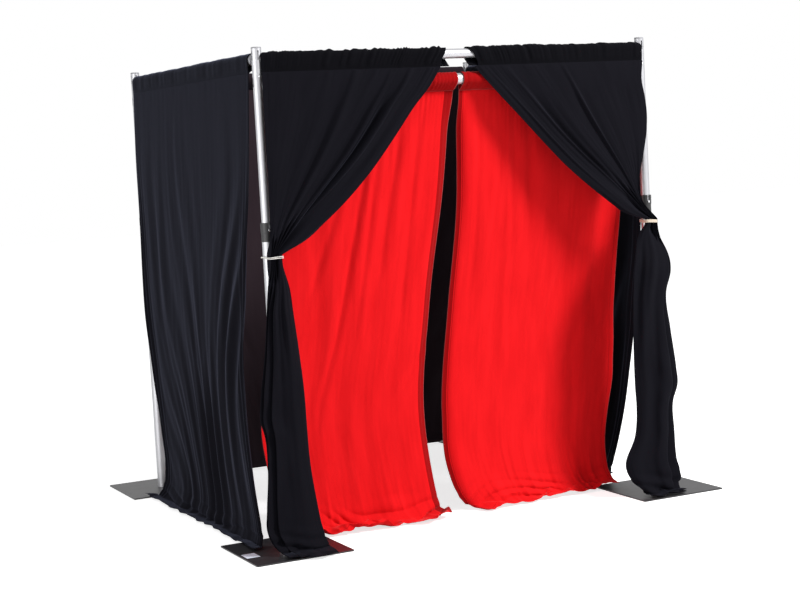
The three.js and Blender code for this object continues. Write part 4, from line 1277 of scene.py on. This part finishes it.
def mix_colours(tree, share, first, second):
    node = tree.nodes.new("ShaderNodeMix")
    node.data_type = "RGBA"
    tree.links.new(share, node.inputs[0])
    for socket, value in ((node.inputs[6], first), (node.inputs[7], second)):
        if isinstance(value, bpy.types.NodeSocket):
            tree.links.new(value, socket)
        else:
            socket.default_value = (*value, 1)
    return node.outputs[2]


def bump(tree, shader, height, strength, distance):
    node = tree.nodes.new("ShaderNodeBump")
    node.inputs["Strength"].default_value = strength
    node.inputs["Distance"].default_value = distance
    tree.links.new(height, node.inputs["Height"])
    tree.links.new(node.outputs["Normal"], shader.inputs["Normal"])


def give(piece, finish):
    """Puts one finish on a whole piece."""
    piece.data.materials.clear()
    piece.data.materials.append(finish)


# %% [markdown]
# The back wall is seen from inside the booth through the gap. Its inner face is painted paler and warmer
# than the drapes in front, standing in for the red curtains' light bouncing onto it, and its outer face
# is black like the others.

# %% Velvet
def velvet(piece, width, dark, light, serged, header_shade_share, sheen, sheen_tint, turned_hem_shade=0.0):
    """Two close shades under a nap, with hems. serged is the colour of the overlocked edge."""
    finish, tree, shader = new_finish(
        piece.name + "_velvet", Roughness=0.9, Specular_IOR_Level=0.05,
        Sheen_Weight=sheen, Sheen_Roughness=0.35, Sheen_Tint=(*sheen_tint, 1),
    )
    maths = partial(math_node, tree)
    pocket_length, length = measured_down[piece.name]
    nap = use_group(tree, nap_group, Fineness=700.0, Patches=5.0, Contrast=0.55).outputs
    hems = use_group(
        tree, hem_group, Width=width, Length=length, Pocket=pocket_length, Inset=0.03, Turned=turned_hem_shade
    ).outputs
    # painted shade: headers and turned-back free edges get the darker colour, as if less light shone through
    darker = tuple(c * header_shade_share for c in dark)
    doubled_shade = maths("MULTIPLY", maths("MAXIMUM", hems["Header"], hems["Side"]), 0.85)
    colour = mix_colours(tree, nap["Shade"], dark, light)
    colour = mix_colours(tree, doubled_shade, colour, darker)
    # painted shade in the stitch groove
    colour = mix_colours(tree, maths("MULTIPLY", hems["Groove"], 0.55), colour, darker)
    colour = mix_colours(tree, hems["Edge"], colour, serged)
    tree.links.new(colour, shader.inputs["Base Color"])
    height = maths("SUBTRACT", maths("MULTIPLY", nap["Height"], 0.3), hems["Groove"])
    bump(tree, shader, height, 0.5, 0.0015)
    return finish


def plain_velvet(dark, light, **values):
    """Shades for a velvet whose overlocked edge is as light as its nap."""
    return {"dark": dark, "light": light, "serged": light, "header_shade_share": 0.5, **values}


SKY_TINT = (0.50, 0.54, 0.80)
BLACK = plain_velvet((0.0030, 0.0028, 0.0046), (0.0054, 0.0051, 0.0078), sheen=0.20, sheen_tint=SKY_TINT)
# painted light: paler, warmer shades for the back wall's inner face, as if lit by the red curtains
RED_BOUNCE_PAINTED = plain_velvet((0.027, 0.018, 0.023), (0.038, 0.026, 0.032), sheen=0.20, sheen_tint=SKY_TINT)
RED = {
    "dark": (0.56, 0.0045, 0.0065), "light": (0.76, 0.010, 0.013), "serged": (0.36, 0.07, 0.07),
    "header_shade_share": 0.4, "sheen": 0.3, "sheen_tint": (1.0, 0.30, 0.30),
}
for name, piece in walls.items():
    give(piece, velvet(piece, WALLS[name]["flat"][0], **(RED_BOUNCE_PAINTED if name == "back_wall" else BLACK)))
back_cloth = walls["back_wall"]
outside = velvet(back_cloth, WALLS["back_wall"]["flat"][0], **BLACK)
outside.name = "back_wall_outside_velvet"
back_cloth.data.materials.append(outside)
is_outside = [int(face.normal.y > 0) for face in back_cloth.data.polygons]
back_cloth.data.polygons.foreach_set("material_index", is_outside)
for piece in tied.values():
    give(piece, velvet(piece, TIED_FLAT[0], **{**BLACK, "sheen": 0.045}))
# how wide each red curtain's turned-back free edge is, where painted shade darkens it
for name, turned_hem_shade in (("red_left", 0.055), ("red_right", 0.024)):
    give(reds[name], velvet(reds[name], RED_FLAT[0], **RED, turned_hem_shade=turned_hem_shade))
print("velvets", [finish.name for finish in bpy.data.materials if finish.name.endswith("velvet")])

# %% [markdown]
# Aluminium tubes are brushed and dull, the hooks are brighter zinc, and the buttons shine. The plates
# and collars are nearly black, with grey dust. One function makes them all: dust changes their colour
# and makes them rougher, and scratches do so a little.

# %% Metal, plastic and paper
def worn_finish(name, base, dust, metallic, roughness, scale, amount, scratches, coat=0.0):
    finish, tree, shader = new_finish(name, Metallic=metallic, Coat_Weight=coat)
    maths = partial(math_node, tree)
    wear = use_group(tree, wear_group, Scale=scale, Amount=amount, Scratches=scratches).outputs
    colour = mix_colours(tree, wear["Dust"], base, dust)
    colour = mix_colours(tree, maths("MULTIPLY", wear["Scuff"], 0.5), colour, dust)
    tree.links.new(colour, shader.inputs["Base Color"])
    rough = maths("ADD", maths("MULTIPLY", wear["Dust"], 0.25), roughness)
    rough = maths("ADD", rough, maths("MULTIPLY", wear["Scuff"], 0.15), clamp=True)
    tree.links.new(rough, shader.inputs["Roughness"])
    bump(tree, shader, wear["Height"], 0.05, 0.0005)
    return finish


# each finish: colour, colour of its dust, metallic, roughness, scale of the dust, dust, scratches
FINISHES = {
    "aluminium": worn_finish(
        "brushed_aluminium", (0.46, 0.46, 0.48), (0.40, 0.40, 0.41), 0.9, 0.42, 9.0, 0.35, 0.35
    ),
    "collar": worn_finish(
        "collar_plastic", (0.009, 0.009, 0.010), (0.035, 0.035, 0.038), 0.0, 0.42, 60.0, 0.4, 0.5
    ),
    "chrome": worn_finish(
        "button_chrome", (0.80, 0.81, 0.83), (0.60, 0.60, 0.62), 1.0, 0.15, 120.0, 0.3, 0.2
    ),
    "cap": worn_finish("cap_plastic", (0.30, 0.30, 0.32), (0.42, 0.42, 0.43), 0.0, 0.5, 80.0, 0.5, 0.3),
    "plate": worn_finish(
        "plate_paint", (0.010, 0.009, 0.011), (0.045, 0.043, 0.045), 0.0, 0.45, 22.0, 0.22, 0.15, coat=0.05
    ),
}
zinc = worn_finish("zinc_steel", (0.55, 0.55, 0.57), (0.40, 0.40, 0.41), 0.95, 0.34, 45.0, 0.5, 0.4)
label_paper = worn_finish("label_paper", (0.72, 0.78, 0.90), (0.60, 0.65, 0.74), 0.0, 0.55, 60.0, 0.5, 0.2)
for finish_name, pieces in metal.items():
    for piece in pieces:
        give(piece, FINISHES[finish_name])
kept_solids = [name for name, node in nodes.items() if not node.hide_render]
for name in kept_solids:
    for slot in nodes[name].material_slots:
        slot.material = label_paper if name == "blank_label" else zinc
print("CAD solids that stay:", len(kept_solids))

# %% [markdown]
# The cord is twisted and the band woven. Slanting waves, repeated many times round the loop, give both
# their threads, in the colour and in a fine bump.

# %% Cord and band
def woven(name, dark, light, turns, girths):
    """Twisted or woven thread along the loop: waves over the piece's own map."""
    finish, tree, shader = new_finish(name, Roughness=0.85, Sheen_Weight=0.2)
    laid_out = stretched(tree, tree.nodes.new("ShaderNodeTexCoord").outputs["UV"], (turns, girths, 1.0))
    threads = tree.nodes.new("ShaderNodeTexWave")
    threads.bands_direction = "DIAGONAL"
    threads.inputs["Scale"].default_value = 1.0
    threads.inputs["Distortion"].default_value = 0.6
    tree.links.new(laid_out, threads.inputs["Vector"])
    tree.links.new(mix_colours(tree, threads.outputs["Fac"], dark, light), shader.inputs["Base Color"])
    bump(tree, shader, threads.outputs["Fac"], 0.6, 0.0005)
    return finish


cord_finish = woven("white_cord", (0.52, 0.50, 0.46), (0.86, 0.84, 0.80), 40.0, 1.0)
band_finish = woven("beige_band", (0.42, 0.34, 0.26), (0.66, 0.57, 0.46), 60.0, 4.0)
for piece in strands:
    give(piece, cord_finish)
give(band, band_finish)
print("ties", [piece.name for piece in (*strands, band)])

# %% [markdown]
# ## What moves with what
# A wall's pocket has one end on the thick tube of its bar and the other on the thin one, so the wall
# stretches between them as the booth widens or deepens. Here each wall stays where it hangs instead,
# with its place baked into its mesh. The tied drapes stay with their own end of the front bar. The red
# curtains are drawn to their uprights and bunch up. Here each rides on its own body, with a mesh of its
# own, and is not squashed.

# %% Ride, and bake the walls in place
BLEND_INSET = 0.06  # from an upright's axis to a wall's end points along its bar, which are worked out and not used

for wall_name, piece in walls.items():
    form = WALLS[wall_name]
    span = WIDTH if form["side"] == "back" else DEPTH
    ends = (BLEND_INSET, span - BLEND_INSET)
    start, end = (tuple(SIDES[form["side"]](along, 0.0, UPPER_BAR)) for along in ends)
    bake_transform(piece)
    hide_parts(wall_name + "_drape")

for tied_name, bar in (("front_left", "outer"), ("front_right", "inner")):
    piece = tied[tied_name]
    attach(piece, f"front_bar_{bar}")
    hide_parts(tied_name + "_drape")

for red_name, piece in reds.items():
    form = REDS[red_name]
    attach(piece, red_name)
    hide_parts(red_name + "_curtain")
    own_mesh(piece)

for piece in strands:
    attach(piece, "front_bar_outer")
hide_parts("left_tie_cord")
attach(band, "front_bar_inner")
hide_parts("right_tie_band")
print("cloths and ties set to move:", len(walls) + len(tied) + len(reds) + len(strands) + 1)

# %% [markdown]
# ## Floor and light
# The photograph's ground is white. The floor is a pale sheet that keeps the booth's shadow, and the
# camera sees it and the world as white. Soft light comes from all round, with one wide lamp in front
# on the right and a weaker one on the left.

# %% Floor, world and lamps
FLOOR_SIZE, FLOOR_HEIGHT = 60, -0.0006  # the floor is just under the plates
FLOOR_GLOW = 0.72
AMBIENT = 0.38


def seen_directly(tree, *kinds):
    """1 for rays from the camera or of the other kinds named, and 0 for the rest."""
    rays = tree.nodes.new("ShaderNodeLightPath").outputs
    direct = rays["Is Camera Ray"]
    for kind in kinds:
        direct = math_node(tree, "MAXIMUM", direct, rays[f"Is {kind} Ray"])
    return direct


bpy.ops.mesh.primitive_plane_add(size=FLOOR_SIZE, location=(0, 0, FLOOR_HEIGHT))
floor = bpy.context.object
floor.name = "studio_floor"
floor_finish, tree, shader = new_finish(
    "studio_floor", Base_Color=(0.80, 0.80, 0.80, 1), Roughness=0.9, Specular_IOR_Level=0.1,
    Emission_Color=(1, 1, 1, 1),
)
glow = math_node(tree, "MULTIPLY", seen_directly(tree, "Glossy"), FLOOR_GLOW)
tree.links.new(glow, shader.inputs["Emission Strength"])
give(floor, floor_finish)

world = bpy.data.worlds.new("studio")
scene.world = world
world.use_nodes = True
sky = world.node_tree
background = sky.nodes["Background"]
background.inputs["Color"].default_value = (1, 1, 1, 1)
direct = seen_directly(sky, "Glossy", "Transmission")
brightness = math_node(sky, "ADD", math_node(sky, "MULTIPLY", direct, 1 - AMBIENT), AMBIENT)
sky.links.new(brightness, background.inputs["Strength"])

LAMP_AIM = Vector((0, 0, 1.0))
LAMPS = (("key_lamp", (5.6, -6.6, 7.2), 2.4, 1350), ("left_lamp", (-6.0, -2.2, 1.7), 4.0, 170))
for lamp_name, place, size, power in LAMPS:
    lamp_data = bpy.data.lights.new(lamp_name, "AREA")
    lamp_data.size = size
    lamp_data.energy = power
    lamp = bpy.data.objects.new(lamp_name, lamp_data)
    scene.collection.objects.link(lamp)
    lamp.location = place
    lamp.rotation_mode = "QUATERNION"
    lamp.rotation_quaternion = (LAMP_AIM - Vector(place)).to_track_quat("-Z", "Y")
print("lamps", [name for name, *_ in LAMPS])
